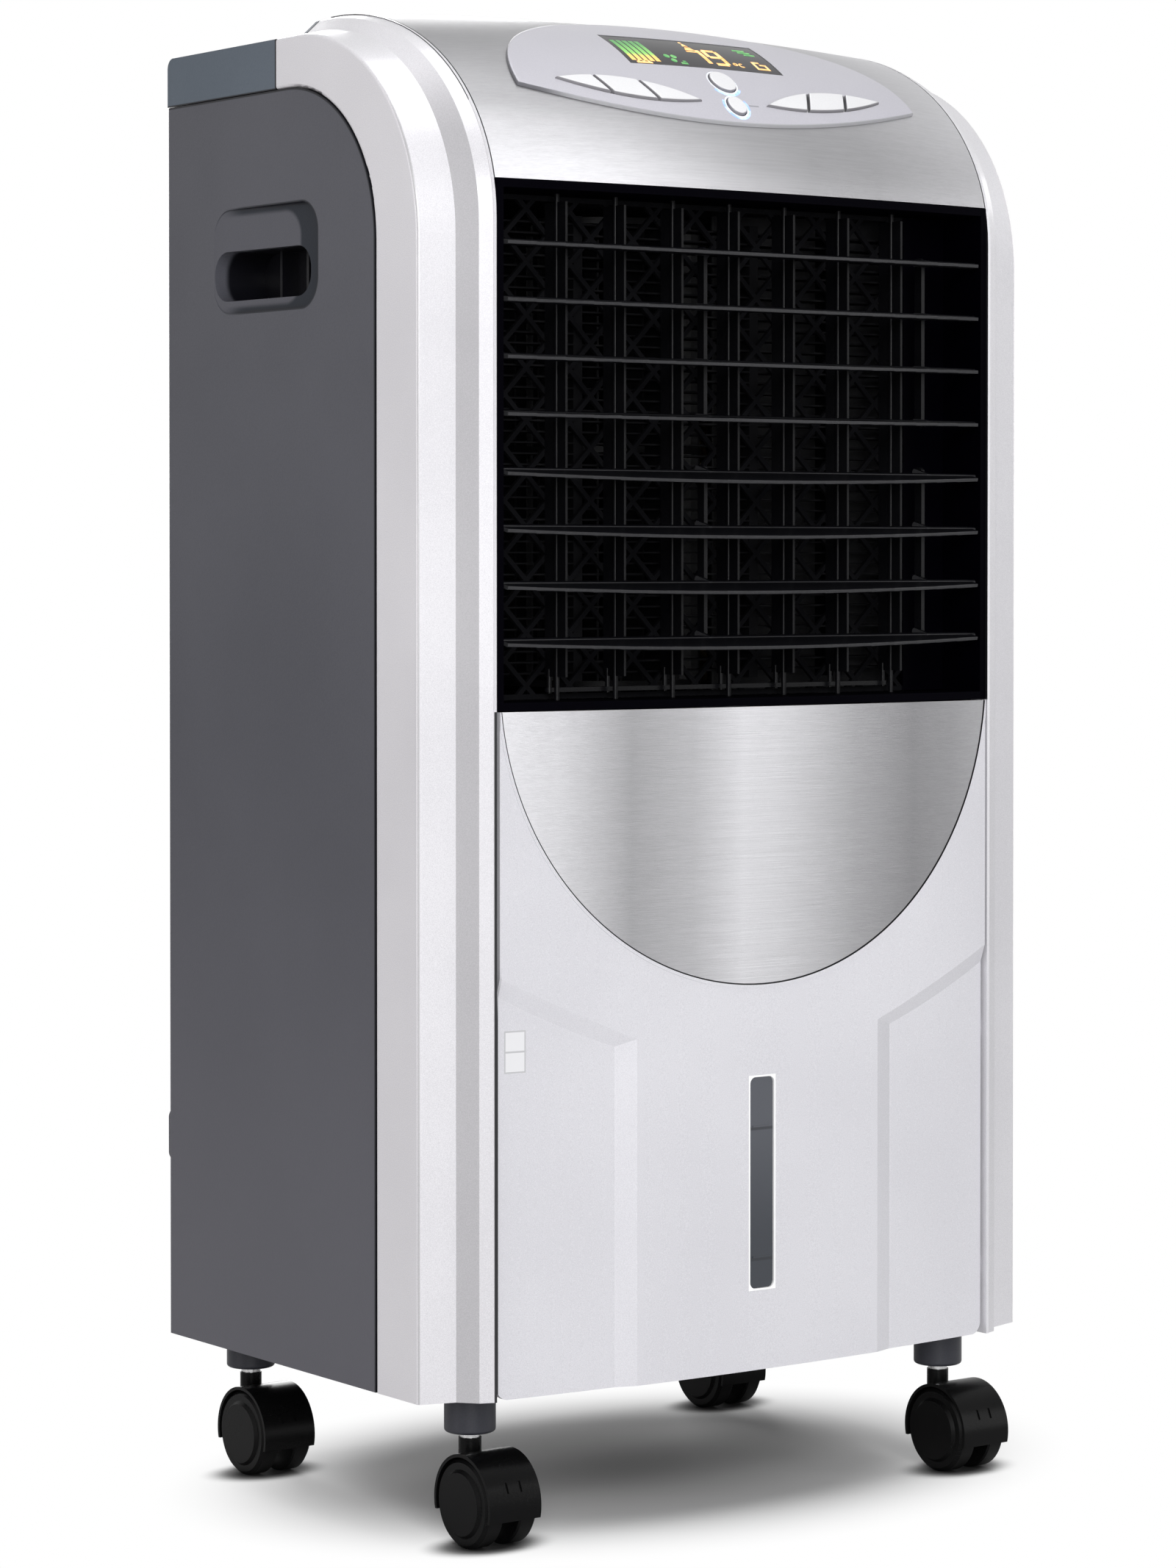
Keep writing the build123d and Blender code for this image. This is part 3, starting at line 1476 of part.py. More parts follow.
heater_half = opening_half - heater_inset
heater_low = sill_z + heater_clear
heater_high = lintel_z - heater_clear
with BuildPart() as ptc_heater:
    with BuildSketch(Plane.XZ.offset(-frame_back_y - heater_edge)):
        with Locations((0, (heater_low + heater_high) / 2)):
            with GridLocations(2 * heater_half / heater_bars, 1, heater_bars + 1, 1):
                Rectangle(heater_bar, heater_high - heater_low)
            fin_count = math.floor((heater_high - heater_low) / fin_pitch)
            with GridLocations(1, fin_pitch, 1, fin_count):
                Rectangle(2 * heater_half, fin_thick)
    extrude(amount=-(heater_thick - 2 * heater_edge))
    # End caps that bolt to the back of the outlet frame
    for side in (-1, 1):
        edges_x = sorted((side * heater_half, side * (frame_half - frame_gap)))
        block(
            (edges_x[0], frame_back_y, heater_low),
            (edges_x[1], frame_back_y + heater_thick - heater_edge, heater_high),
        )

finish(ptc_heater, "ptc_heater")

# ---------------------------------------------------------------------------
# Casters: stem in its collar, swivelling hood, twin wheels on one axle
# ---------------------------------------------------------------------------
axle_z = tyre_radius
hood_inner = tyre_radius + hood_gap
hood_outer = hood_inner + hood_thick
neck_top = collar_low - neck_gap
neck_low = axle_z + hood_inner * neck_share
wheel_far = web_half + wheel_side_gap + tyre_width
pin_low = axle_z + axle_radius + pin_lift

with BuildPart() as caster_stems:
    for low, high, radius in (
        (pin_low, collar_low, swivel_pin),
        (neck_top, collar_low, stem_washer),
        (collar_low, tray_top - wall / 2, stem_radius),
    ):
        with BuildSketch(Plane.XY.offset(low)):
            with Locations(caster_places):
                Circle(radius)
        extrude(amount=high - low)

finish(caster_stems, "caster_stems")


def caster_hood(x, y):
    """Hood: web between the wheels, fender over them, and the neck that turns on the stem."""
    axle_y = y - caster_trail
    with BuildPart() as hood:
        # Web between the wheels, open below the axle
        with BuildSketch(Plane.YZ.offset(x - web_half)):
            with Locations((axle_y, axle_z)):
                Circle(hood_outer)
            with Locations((axle_y, hood_low - hood_outer)):
                Rectangle(3 * hood_outer, 2 * hood_outer, mode=Mode.SUBTRACT)
            with Locations((axle_y, axle_z)):
                Circle(2 * axle_radius)
        extrude(amount=2 * web_half)
        # Fender round both wheels
        with BuildSketch(Plane.YZ.offset(x - wheel_far)):
            with Locations((axle_y, axle_z)):
                Circle(hood_outer)
                Circle(hood_inner, mode=Mode.SUBTRACT)
            with Locations((axle_y, hood_low - hood_outer)):
                Rectangle(3 * hood_outer, 2 * hood_outer, mode=Mode.SUBTRACT)
        extrude(amount=2 * wheel_far)
        # Neck
        with BuildSketch(Plane.XY.offset(neck_low)):
            with Locations((x, y)):
                Circle(neck_radius)
        extrude(amount=neck_top - running - neck_low)
        with BuildSketch(Plane.XY.offset(pin_low - link_gap)):
            with Locations((x, y)):
                Circle(swivel_pin + running)
        extrude(amount=collar_low, mode=Mode.SUBTRACT)
        with BuildSketch(Plane.YZ.offset(x - web_half)):
            with Locations((axle_y, axle_z)):
                Circle(axle_radius + running)
        extrude(amount=2 * web_half, mode=Mode.SUBTRACT)
        # Slots moulded in the front of the fender
        lean = math.radians(notch_angle)
        for offset_x in (-notch_place, notch_place):
            face = Plane(
                origin=(
                    x + offset_x,
                    axle_y - hood_outer * math.cos(lean),
                    axle_z + hood_outer * math.sin(lean),
                ),
                x_dir=(1, 0, 0),
                z_dir=(0, -math.cos(lean), math.sin(lean)),
            )
            with BuildSketch(face):
                Rectangle(hood_thick, 2 * axle_radius)
            extrude(amount=-hood_thick / 2, mode=Mode.SUBTRACT)
    return hood


def caster_wheels(x, y):
    """Twin wheels with domed covers, joined by their axle."""
    axle_y = y - caster_trail
    near = web_half + wheel_side_gap
    with BuildPart() as wheels:
        with BuildSketch(Plane.XY.offset(axle_z)):
            for side in (-1, 1):
                with BuildLine():
                    Polyline(
                        (x, axle_y),
                        (x + side * (wheel_far + hub_cap), axle_y),
                        (x + side * (wheel_far + hub_cap), axle_y + hub_face),
                        (x + side * wheel_far, axle_y + hub_face + hub_cap),
                        (x + side * wheel_far, axle_y + tyre_radius - tyre_edge),
                        (x + side * (wheel_far - tyre_edge), axle_y + tyre_radius),
                        (x + side * (near + tyre_edge / 2), axle_y + tyre_radius),
                        (x + side * near, axle_y + tyre_radius - tyre_edge / 2),
                        (x + side * near, axle_y + axle_radius),
                        (x, axle_y + axle_radius),
                        (x, axle_y),
                    )
                make_face()
        revolve(axis=Axis((x, axle_y, axle_z), (1, 0, 0)))
    return wheels


for (x, y), corner in zip(
    caster_places, ("front_left", "front_right", "rear_left", "rear_right")
):
    finish(caster_hood(x, y), f"caster_hood_{corner}")
    finish(caster_wheels(x, y), f"caster_wheels_{corner}")
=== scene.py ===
import math

import bmesh
import bpy
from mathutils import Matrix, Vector
from mathutils.bvhtree import BVHTree


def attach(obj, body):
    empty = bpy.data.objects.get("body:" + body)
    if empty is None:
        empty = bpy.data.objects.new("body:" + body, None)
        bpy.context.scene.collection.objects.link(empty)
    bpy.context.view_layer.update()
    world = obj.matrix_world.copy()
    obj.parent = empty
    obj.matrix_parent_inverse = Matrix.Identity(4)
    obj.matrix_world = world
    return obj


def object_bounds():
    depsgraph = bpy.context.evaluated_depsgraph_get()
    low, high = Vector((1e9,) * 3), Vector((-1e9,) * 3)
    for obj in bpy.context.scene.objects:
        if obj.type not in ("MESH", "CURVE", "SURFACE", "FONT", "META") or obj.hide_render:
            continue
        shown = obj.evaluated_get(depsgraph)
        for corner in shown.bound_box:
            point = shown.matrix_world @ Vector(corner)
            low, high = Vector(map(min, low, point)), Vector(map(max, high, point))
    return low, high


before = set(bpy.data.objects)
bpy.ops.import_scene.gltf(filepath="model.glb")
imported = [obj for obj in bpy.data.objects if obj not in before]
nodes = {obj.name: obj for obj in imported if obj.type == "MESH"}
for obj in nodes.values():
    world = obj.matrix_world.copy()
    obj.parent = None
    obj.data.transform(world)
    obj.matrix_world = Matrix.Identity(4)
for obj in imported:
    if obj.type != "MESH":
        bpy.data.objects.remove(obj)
cad_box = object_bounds()

# ---------------------------------------------------------------------------
# Camera: a long lens to the left of the cabinet's front, at the height of the
# louvres. It is shifted down a little, which keeps the cabinet's sides upright.
# ---------------------------------------------------------------------------
camera_data = bpy.data.cameras.new("camera")
camera_data.sensor_width = 36.0
camera_data.lens = 97.44
camera_data.shift_y = -0.0976
camera_data.clip_end = 60.0
camera = bpy.data.objects.new("camera", camera_data)
camera.location = (-1.2091, -1.6610, 0.4424)
camera.rotation_euler = (math.radians(89.0), 0.0, math.radians(-35.8))
bpy.context.scene.collection.objects.link(camera)
bpy.context.scene.camera = camera


# ---------------------------------------------------------------------------
# Studio: a floor that shows white beyond the soft shadow under the cabinet, which is
# partly cast and partly painted into the floor, a world that shows white behind it, and
# large soft lamps all round and overhead.
# ---------------------------------------------------------------------------
class Field:
    """A shader socket that takes part in sums like a number."""

    def __init__(self, finish, socket):
        self.finish = finish
        self.socket = socket

    def math(self, operation, *others, clamp=False):
        return self.finish.node(
            "Math",
            {"operation": operation, "use_clamp": clamp},
            dict(enumerate((self,) + others)),
        )

    def __add__(self, other):
        return self.math("ADD", other)

    def __sub__(self, other):
        return self.math("SUBTRACT", other)

    def __rsub__(self, other):
        return self.finish.node("Math", {"operation": "SUBTRACT"}, {0: other, 1: self})

    def __mul__(self, other):
        return self.math("MULTIPLY", other)

    def __truediv__(self, other):
        return self.math("DIVIDE", other)

    def __abs__(self):
        return self.math("ABSOLUTE")

    __radd__ = __add__
    __rmul__ = __mul__

    def hypot(self, other):
        """Length of the straight line that goes this far one way and that far square to it."""
        return (self * self + other * other).math("SQRT")

    def clamped(self):
        return self.math("ADD", 0.0, clamp=True)

    def ramp(self, low, high):
        """0 below low, 1 above high, smooth between."""
        return self.finish.node(
            "MapRange",
            {"interpolation_type": "SMOOTHSTEP"},
            {"Value": self, "From Min": low, "From Max": high},
        )

    def past(self, edge, blur):
        """0 before an edge and 1 past it, with a little blur on both sides of it."""
        return self.ramp(edge - blur, edge + blur)


class Finish:
    """One procedural material: nodes are made by type, settings and socket values."""

    def __init__(self, name, tree=None):
        if tree is None:
            self.material = bpy.data.materials.new(name)
            self.material.use_nodes = True
            tree = self.material.node_tree
        self.tree = tree

    def feed(self, socket, value):
        if isinstance(value, Field):
            self.tree.links.new(value.socket, socket)
        elif isinstance(value, tuple) and len(value) == 3 and socket.type == "RGBA":
            socket.default_value = (*value, 1.0)
        else:
            socket.default_value = value

    def node(self, kind, settings=None, sockets=None, output=0):
        made = self.tree.nodes.new("ShaderNode" + kind)
        for name, value in (settings or {}).items():
            if name == "stops":
                ramp = made.color_ramp
                while len(ramp.elements) < len(value):
                    ramp.elements.new(1.0)
                for element, (place, colour) in zip(ramp.elements, value):
                    element.position = place
                    element.color = (*colour, 1.0)
            else:
                setattr(made, name, value)
        for name, value in (sockets or {}).items():
            self.feed(made.inputs[name], value)
        return Field(self, made.outputs[output])

    def shade(self, sockets):
        """Sets the main shader's sockets."""
        shader = self.tree.nodes["Principled BSDF"]
        for name, value in sockets.items():
            self.feed(shader.inputs[name], value)
        return Field(self, shader.outputs[0])

    def place(self, stretch=(1.0, 1.0, 1.0)):
        """Position on the piece in metres, stretched along each axis."""
        here = self.node("TexCoord", output="Object")
        return self.node("VectorMath", {"operation": "MULTIPLY"}, {0: here, 1: stretch})

    def along(self, axis):
        """Position on the piece along X, Y or Z, in metres."""
        return self.node("SeparateXYZ", sockets={0: self.place()}, output=axis)

    def facing(self, axis):
        """How far a face looks along X, Y or Z, from -1 to 1."""
        outward = self.node("TexCoord", output="Normal")
        return self.node("SeparateXYZ", sockets={0: outward}, output=axis)

    def noise(self, scale, detail, stretch=(1.0, 1.0, 1.0), rough=0.5):
        return self.node(
            "TexNoise",
            sockets={"Vector": self.place(stretch), "Scale": scale, "Detail": detail, "Roughness": rough},
        )

    def mix(self, share, one, other):
        """Blend of two colours."""
        return self.node("Mix", {"data_type": "RGBA"}, {"Factor": share, 6: one, 7: other}, output=2)

    def bump(self, height, distance):
        return self.node("Bump", sockets={"Strength": 1.0, "Distance": distance, "Height": height})


floor_reach = 14.0
floor_mesh = bpy.data.meshes.new("floor")
floor_mesh.from_pydata(
    [(x * floor_reach, y * floor_reach, 0) for x, y in ((-1, -1), (1, -1), (1, 1), (-1, 1))],
    [],
    [(0, 1, 2, 3)],
)
floor = bpy.data.objects.new("floor", floor_mesh)
bpy.context.scene.collection.objects.link(floor)

floor_finish = Finish("white floor")
floor_x = floor_finish.along(0)
floor_y = floor_finish.along(1)
# Distance from the middle of the cabinet, in an oval that is a third longer across
cabinet_stretch = 1.35
cabinet_shift = 0.008
from_cabinet = (floor_x / cabinet_stretch - cabinet_shift).hypot(floor_y)
# Distance from where the nearest caster stands, in an oval half as long again across
wheels_x = 0.138
wheels_front = -0.099
wheels_rear = 0.0904
wheel_stretch = 1.5
off_wheel_x = (abs(floor_x) - wheels_x) / wheel_stretch
off_wheel_y = abs(floor_y - (wheels_rear + wheels_front) / 2) - (wheels_rear - wheels_front) / 2
from_wheel = off_wheel_x.hypot(off_wheel_y)
# Painted shadow: the floor's colour is darkest under the casters and dark under the
# cabinet, and further out the shadow gives way to white
floor_painted_shadow_colour = floor_finish.mix(
    from_wheel.ramp(0.008, 0.022),
    (0.03, 0.03, 0.03),
    floor_finish.mix(from_cabinet.ramp(0.0, 0.15), (0.19, 0.19, 0.19), (0.78, 0.78, 0.78)),
)
floor_diffuse = floor_finish.shade({"Base Color": floor_painted_shadow_colour, "Roughness": 0.9, "Specular IOR Level": 0.1})
floor_glow = floor_finish.node("Emission", sockets={"Color": (1.0, 1.0, 1.0), "Strength": 1.0})
floor_seen = floor_finish.node("LightPath", output="Is Camera Ray")
whitening = floor_seen * from_cabinet.ramp(0.092, 0.182) * from_wheel.ramp(0.013, 0.024)
floor_mix = floor_finish.node("MixShader", sockets={0: whitening, 1: floor_diffuse, 2: floor_glow})
floor_finish.feed(floor_finish.tree.nodes["Material Output"].inputs["Surface"], floor_mix)
floor.data.materials.append(floor_finish.material)

world = bpy.data.worlds.new("studio")
world.use_nodes = True
bpy.context.scene.world = world
sky = Finish("studio", world.node_tree)
seen = sky.node("LightPath", output="Is Camera Ray") + sky.node("LightPath", output="Is Transmission Ray")
shiny = sky.node("LightPath", output="Is Glossy Ray")
world_level = 0.12
mirrored_level = 0.80
background = world.node_tree.nodes["Background"].inputs
sky.feed(background["Color"], (1.0, 1.0, 1.0))
sky.feed(
    background["Strength"],
    world_level + (seen * (1.0 - world_level) + shiny * (mirrored_level - world_level)).clamped(),
)
bpy.context.scene.view_settings.view_transform = "Standard"

middle = (cad_box[0] + cad_box[1]) / 2


def soft_lamp(name, place, width, height, power, tint=(1.0, 1.0, 1.0)):
    """Rectangular lamp at a place, turned to face the middle of the cabinet."""
    data = bpy.data.lights.new(name, "AREA")
    data.shape = "RECTANGLE"
    data.size = width
    data.size_y = height
    data.energy = power
    data.color = tint
    lamp = bpy.data.objects.new(name, data)
    lamp.location = place
    lamp.rotation_euler = (middle - Vector(place)).to_track_quat("-Z", "Y").to_euler()
    bpy.context.scene.collection.objects.link(lamp)


soft_lamp("front_lamp", (-1.42, -2.62, 1.17), 1.5, 1.8, 74.0)
soft_lamp("left_lamp", (-2.6, 0.1, 0.36), 1.0, 1.8, 20.5, (1.0, 0.945, 0.94))
soft_lamp("right_lamp", (2.0, -2.2, 0.9), 0.7, 1.8, 8.5)
soft_lamp("top_lamp", (0.1, -0.3, 2.6), 1.6, 1.6, 21.0)
soft_lamp("back_lamp", (0.9, 2.6, 1.1), 1.5, 1.8, 42.0)
soft_lamp("far_side_lamp", (2.6, 0.5, 0.6), 1.0, 1.8, 15.0)


# ---------------------------------------------------------------------------
# Side trims: mouldings up the front corners and over the top, of black plastic
# sprayed with a fine pearl silver lacquer and clipped on.
# ---------------------------------------------------------------------------
def dress(finish, *names):
    """Gives CAD nodes a finish."""
    for name in names:
        materials = nodes[name].data.materials
        materials.clear()
        materials.append(finish.material)


def repaint(finish, share, colour):
    """Lays another colour over a share of a finish."""
    base = finish.tree.nodes["Principled BSDF"].inputs["Base Color"]
    below = Field(finish, base.links[0].from_socket)
    finish.feed(base, finish.mix(share, below, colour))


# Black of the plastic under the lacquer, used for dark joints and for painted shade in seams
bare_plastic_and_shade = (0.012, 0.012, 0.014)


def pearl(finish, dark, light, bare_and_shade):
    """Pearl lacquer: fine flakes under a clear coat, with painted shade on diagonal faces.
    Where bare_and_shade is 1 the black of the plastic under it shows, for dark joints and for painted shade
    in seams."""
    flakes = finish.noise(2600.0, 1.0)
    cloud = finish.noise(9.0, 2.0)
    share = (flakes * 0.7 + cloud * 0.3).ramp(0.35, 0.68)
    # Painted shade: faces that look out on a diagonal are darkened, as though turned from the light
    diagonal_shade = abs(finish.facing(0) * finish.facing(1)).ramp(0.30, 0.45)
    lacquer_and_shade = finish.mix(diagonal_shade * 0.38, finish.mix(share, dark, light), (0.0, 0.0, 0.0))
    finish.shade(
        {
            "Base Color": finish.mix(bare_and_shade, lacquer_and_shade, bare_plastic_and_shade),
            "Metallic": 0.12,
            "Roughness": 0.30 + finish.noise(60.0, 3.0) * 0.08,
            "Coat Weight": (1 - bare_and_shade) * 0.35,
            "Coat Roughness": 0.08,
            "Normal": finish.bump(finish.noise(420.0, 2.0), 0.00004),
        }
    )


trim_pearl = Finish("trim pearl")
trim_x = trim_pearl.along(0)
# Painted shade in the seams: the wall that turns in beside the outlet, and the fine edge
# left of the front panel, take the black of the plastic under the lacquer
outlet_foot = 0.3737
inner_wall = 0.1436
fine_edge = -0.1449
by_outlet = trim_pearl.along(2).past(outlet_foot, 0.0001)
turned_in_shade = by_outlet * (1 - abs(trim_x).past(inner_wall, 0.0001))
left_edge_shade = (1 - by_outlet) * trim_x.past(fine_edge, 0.0001) * (1 - trim_x.past(0.0, 0.01))
pearl(trim_pearl, (0.60, 0.592, 0.622), (0.72, 0.712, 0.742), turned_in_shade.math("MAXIMUM", left_edge_shade))
# Painted shade in the seam: so does the lip that lies behind the side panel's edge
lip_side = 0.1735
lip_front = -0.09475
sideways = abs(trim_pearl.facing(0)).ramp(0.93, 0.97)
lip_shade = (1 - abs(trim_x).past(lip_side, 0.0002)) * trim_pearl.along(1).past(lip_front, 0.00025)
repaint(trim_pearl, sideways * lip_shade, bare_plastic_and_shade)
dress(trim_pearl, "side_trim_left", "side_trim_right")


# ---------------------------------------------------------------------------
# Side panels: charcoal mouldings with a finger grip and a cord hook, held by
# screws through their rear flange. Slightly glossy, with a faint texture.
# ---------------------------------------------------------------------------
def moulded(name, dark, light, roughness, grain, coat=0.0, gloss=0.5):
    """Moulded plastic: fine grain, a little uneven gloss and slight colour drift."""
    finish = Finish(name)
    drift = finish.noise(7.0, 3.0)
    specks = finish.noise(grain, 2.0)
    finish.shade(
        {
            "Base Color": finish.mix((drift * 0.6 + specks * 0.4).ramp(0.3, 0.7), dark, light),
            "Roughness": roughness + (finish.noise(35.0, 4.0) - 0.5) * 0.10,
            "Specular IOR Level": gloss,
            "Coat Weight": coat,
            "Coat Roughness": 0.12,
            "Normal": finish.bump(specks, 0.00003),
        }
    )
    return finish


charcoal = moulded("charcoal panel", (0.066, 0.067, 0.080), (0.082, 0.083, 0.098), 0.36, 1500.0, gloss=0.25)
side_x = abs(charcoal.along(0))
side_y = charcoal.along(1)
side_z = charcoal.along(2)
# Painted reflection of the white floor: the moulding pales a little towards its foot
repaint(charcoal, (1 - side_z.ramp(0.06, 0.42)) * 0.55, (0.110, 0.109, 0.127))
# Painted shade: the grip's pocket is coloured near black, as far back as the rear flange
pocket_side = 0.16825
pocket_rear = 0.100
pocket_shade = (1 - side_x.past(pocket_side, 0.00175)) * (1 - side_y.past(pocket_rear, 0.002))
repaint(charcoal, pocket_shade, (0.004, 0.004, 0.006))


def from_outline(middle_y, middle_z, half_y, half_z, corner):
    """Distance out from a rounded rectangle on the side, in metres."""
    over_y = abs(side_y - middle_y) - (half_y - corner)
    over_z = abs(side_z - middle_z) - (half_z - corner)
    outside = over_y.math("MAXIMUM", 0.0).hypot(over_z.math("MAXIMUM", 0.0))
    inside = over_y.math("MAXIMUM", over_z).math("MINIMUM", 0.0)
    return outside + inside - corner


# Painted shadow: the recess round the grip is deep, and is coloured dark at its front end,
# where that edge shades it, and painted shade draws a dark line along its rim
recess = (0.0297, 0.5812, 0.0460, 0.0244, 0.014)
grip_pad = (0.0396, 0.5812, 0.0361, 0.0222, 0.013)
recess_shadow = 1 - from_outline(*recess).ramp(-0.0001, 0.0005)
off_pad = from_outline(*grip_pad).ramp(-0.0020, 0.0006)
repaint(charcoal, recess_shadow * off_pad * (1 - side_y.ramp(0.050, 0.070)), (0.007, 0.010, 0.017))
rim_shade_line = 1 - abs(from_outline(*recess) + 0.0002).ramp(0.0006, 0.0011)
repaint(charcoal, rim_shade_line * (1 - side_y.ramp(0.045, 0.068)), (0.008, 0.009, 0.014))
# Both panels' front and upper edges are dark along the joint
joint_black = (0.006, 0.006, 0.009)
panel_outline = (0.3358, 0.2583, 0.4, 0.4, 0.0741)
panel_face = 0.1730
panel_edge = from_outline(*panel_outline).ramp(-0.0011, -0.0006) * side_x.past(panel_face, 0.0002)
repaint(charcoal, panel_edge, joint_black)
dress(charcoal, "side_panel_left", "side_panel_right")

# ---------------------------------------------------------------------------
# Rear cap: slate moulding that closes the top behind the trims. It hooks over
# the side panels' upper edges, and is dark along the joints at its foot and front.
# ---------------------------------------------------------------------------
slate = moulded("slate cap", (0.080, 0.100, 0.125), (0.096, 0.118, 0.146), 0.40, 1300.0, gloss=0.25)
cap_foot = 0.6593
cap_front = 0.0206
above_foot = slate.along(2).past(cap_foot, 0.0002)
behind_front = slate.along(1).past(cap_front, 0.0002)
repaint(slate, (1 - above_foot).math("MAXIMUM", 1 - behind_front), joint_black)
dress(slate, "rear_cap")


# ---------------------------------------------------------------------------
# Top cover: a doubly curved moulding covered with brushed silver film. The brushing
# runs across the cabinet, and a painted reflection in its colour is brightest at the left.
# ---------------------------------------------------------------------------
def brushed(name, half_width, bands, upper=None, fade=None):
    """Brushed silver film: hair lines along X, and a painted reflection in soft bands from one side to the
    other.
    Over the heights of fade these painted bands turn into the upper ones."""
    finish = Finish(name)
    hair = finish.noise(1.0, 4.0, (22.0, 3200.0, 3200.0), 0.7)
    streak = finish.noise(1.0, 3.0, (6.0, 900.0, 900.0), 0.65)
    across = finish.along(0) / (2 * half_width) + 0.5
    painted_sheen = finish.node("ValToRGB", {"stops": bands}, {0: across})
    if upper:
        upper_painted_sheen = finish.node("ValToRGB", {"stops": upper}, {0: across})
        painted_sheen = finish.mix(finish.along(2).ramp(*fade), painted_sheen, upper_painted_sheen)
    dark = finish.node("VectorMath", {"operation": "SCALE"}, {0: painted_sheen, "Scale": 0.86})
    finish.shade(
        {
            "Base Color": finish.mix((hair * 0.6 + streak * 0.4).ramp(0.3, 0.7), dark, painted_sheen),
            "Metallic": 0.85,
            "Roughness": 0.30 + hair * 0.12,
            "Normal": finish.bump(hair, 0.00006),
        }
    )
    return finish


def grey(level):
    """Foil tone, a touch cooler than plain grey."""
    return (level, level * 0.995, level * 1.03)


# Painted reflection: the tones across the film stand in for light mirrored in it, brightest at the left on
# the front face and evener on the upper face
front_reflection_bands = [
    (0.0, grey(1.0)),
    (0.15, grey(1.0)),
    (0.26, grey(0.89)),
    (0.37, grey(0.71)),
    (0.5, grey(0.52)),
    (0.62, grey(0.42)),
    (0.75, grey(0.41)),
    (0.88, grey(0.48)),
    (1.0, grey(0.56)),
]
top_reflection_bands = [
    (0.0, grey(0.32)),
    (0.3, grey(0.37)),
    (0.6, grey(0.38)),
    (0.75, grey(0.42)),
    (0.88, grey(0.52)),
    (1.0, grey(0.62)),
]
cover_half_width = 0.145
bend = (0.616, 0.650)
cover_foil = brushed("cover foil", cover_half_width, front_reflection_bands, top_reflection_bands, bend)
dress(cover_foil, "top_cover")

# ---------------------------------------------------------------------------
# Control panel: a silver grey lens-shaped bezel let into the slope of the cover,
# and eight white keys that stand out of it. All are lacquered mouldings.
# ---------------------------------------------------------------------------
# The slope that the controls are square to: its middle, the way up it and the way out of it
slope_turn = math.radians(33.3)
slope_middle = Vector((0.0, -0.0674, 0.6683))
slope_up = Vector((0.0, math.cos(slope_turn), math.sin(slope_turn)))
slope_out = Vector((0.0, -math.sin(slope_turn), math.cos(slope_turn)))


def facing_out(finish):
    """1 on faces that look straight out of the slope, 0 on faces that stand on it."""
    outward = finish.node("TexCoord", output="Normal")
    return finish.node(
        "VectorMath",
        {"operation": "DOT_PRODUCT"},
        {0: outward, 1: tuple(slope_out)},
        output=1,
    )


bezel_finish = moulded("bezel silver", (0.460, 0.452, 0.502), (0.532, 0.524, 0.574), 0.34, 1800.0, coat=0.2)
# Painted shade: the bezel's rim, which turns away from the slope, is coloured darker
bezel_rim_shade = 1 - facing_out(bezel_finish).ramp(0.55, 0.82)
repaint(bezel_finish, bezel_rim_shade, (0.38, 0.38, 0.40))
# Painted shade: its rim is darkest at the left tip
left_tip_shade = 1 - bezel_finish.along(0).ramp(-0.108, -0.088)
repaint(bezel_finish, bezel_rim_shade * left_tip_shade, (0.14, 0.14, 0.155))
dress(bezel_finish, "control_panel")

key_finish = moulded("key white", (0.74, 0.74, 0.76), (0.82, 0.82, 0.84), 0.30, 1700.0, coat=0.3)
# Painted shade: the keys' sides and rounded edges are coloured darker
key_rim_shade = 1 - facing_out(key_finish).ramp(0.50, 0.95)
repaint(key_finish, key_rim_shade, (0.20, 0.195, 0.21))
dress(key_finish, "power_key", "select_key")
for side in ("left", "right"):
    dress(key_finish, *[f"{side}_key_{place}" for place in ("inner", "middle", "outer")])

# ---------------------------------------------------------------------------
# Display: a smoked lens let into the bezel, with lit marks that show through it.
# Each mark is a thin plate of glowing plastic laid just over the lens.
# ---------------------------------------------------------------------------
lens_finish = Finish("smoked lens")
smoke = lens_finish.noise(30.0, 2.0)
lens_finish.shade(
    {
        "Base Color": lens_finish.mix(smoke, (0.012, 0.011, 0.013), (0.022, 0.020, 0.024)),
        "Roughness": 0.10 + lens_finish.noise(18.0, 3.0) * 0.08,
        "Specular IOR Level": 0.3,
        "Coat Weight": 0.1,
        "Coat Roughness": 0.03,
    }
)
dress(lens_finish, "display_window")


def surface_of(name):
    """Search tree of a CAD node's surface."""
    mesh = nodes[name].data
    return BVHTree.FromPolygons([v.co for v in mesh.vertices], [p.vertices for p in mesh.polygons])


def on_slope(tree, x, s, lift):
    """Point over a place on the slope (mm across, mm up), lifted off the surface there."""
    above = 0.04
    reach = 0.1
    start = slope_middle + Vector((x / 1000, 0, 0)) + slope_up * (s / 1000) + slope_out * above
    spot = tree.ray_cast(start, -slope_out, reach)[0]
    return spot + slope_out * (lift / 1000)


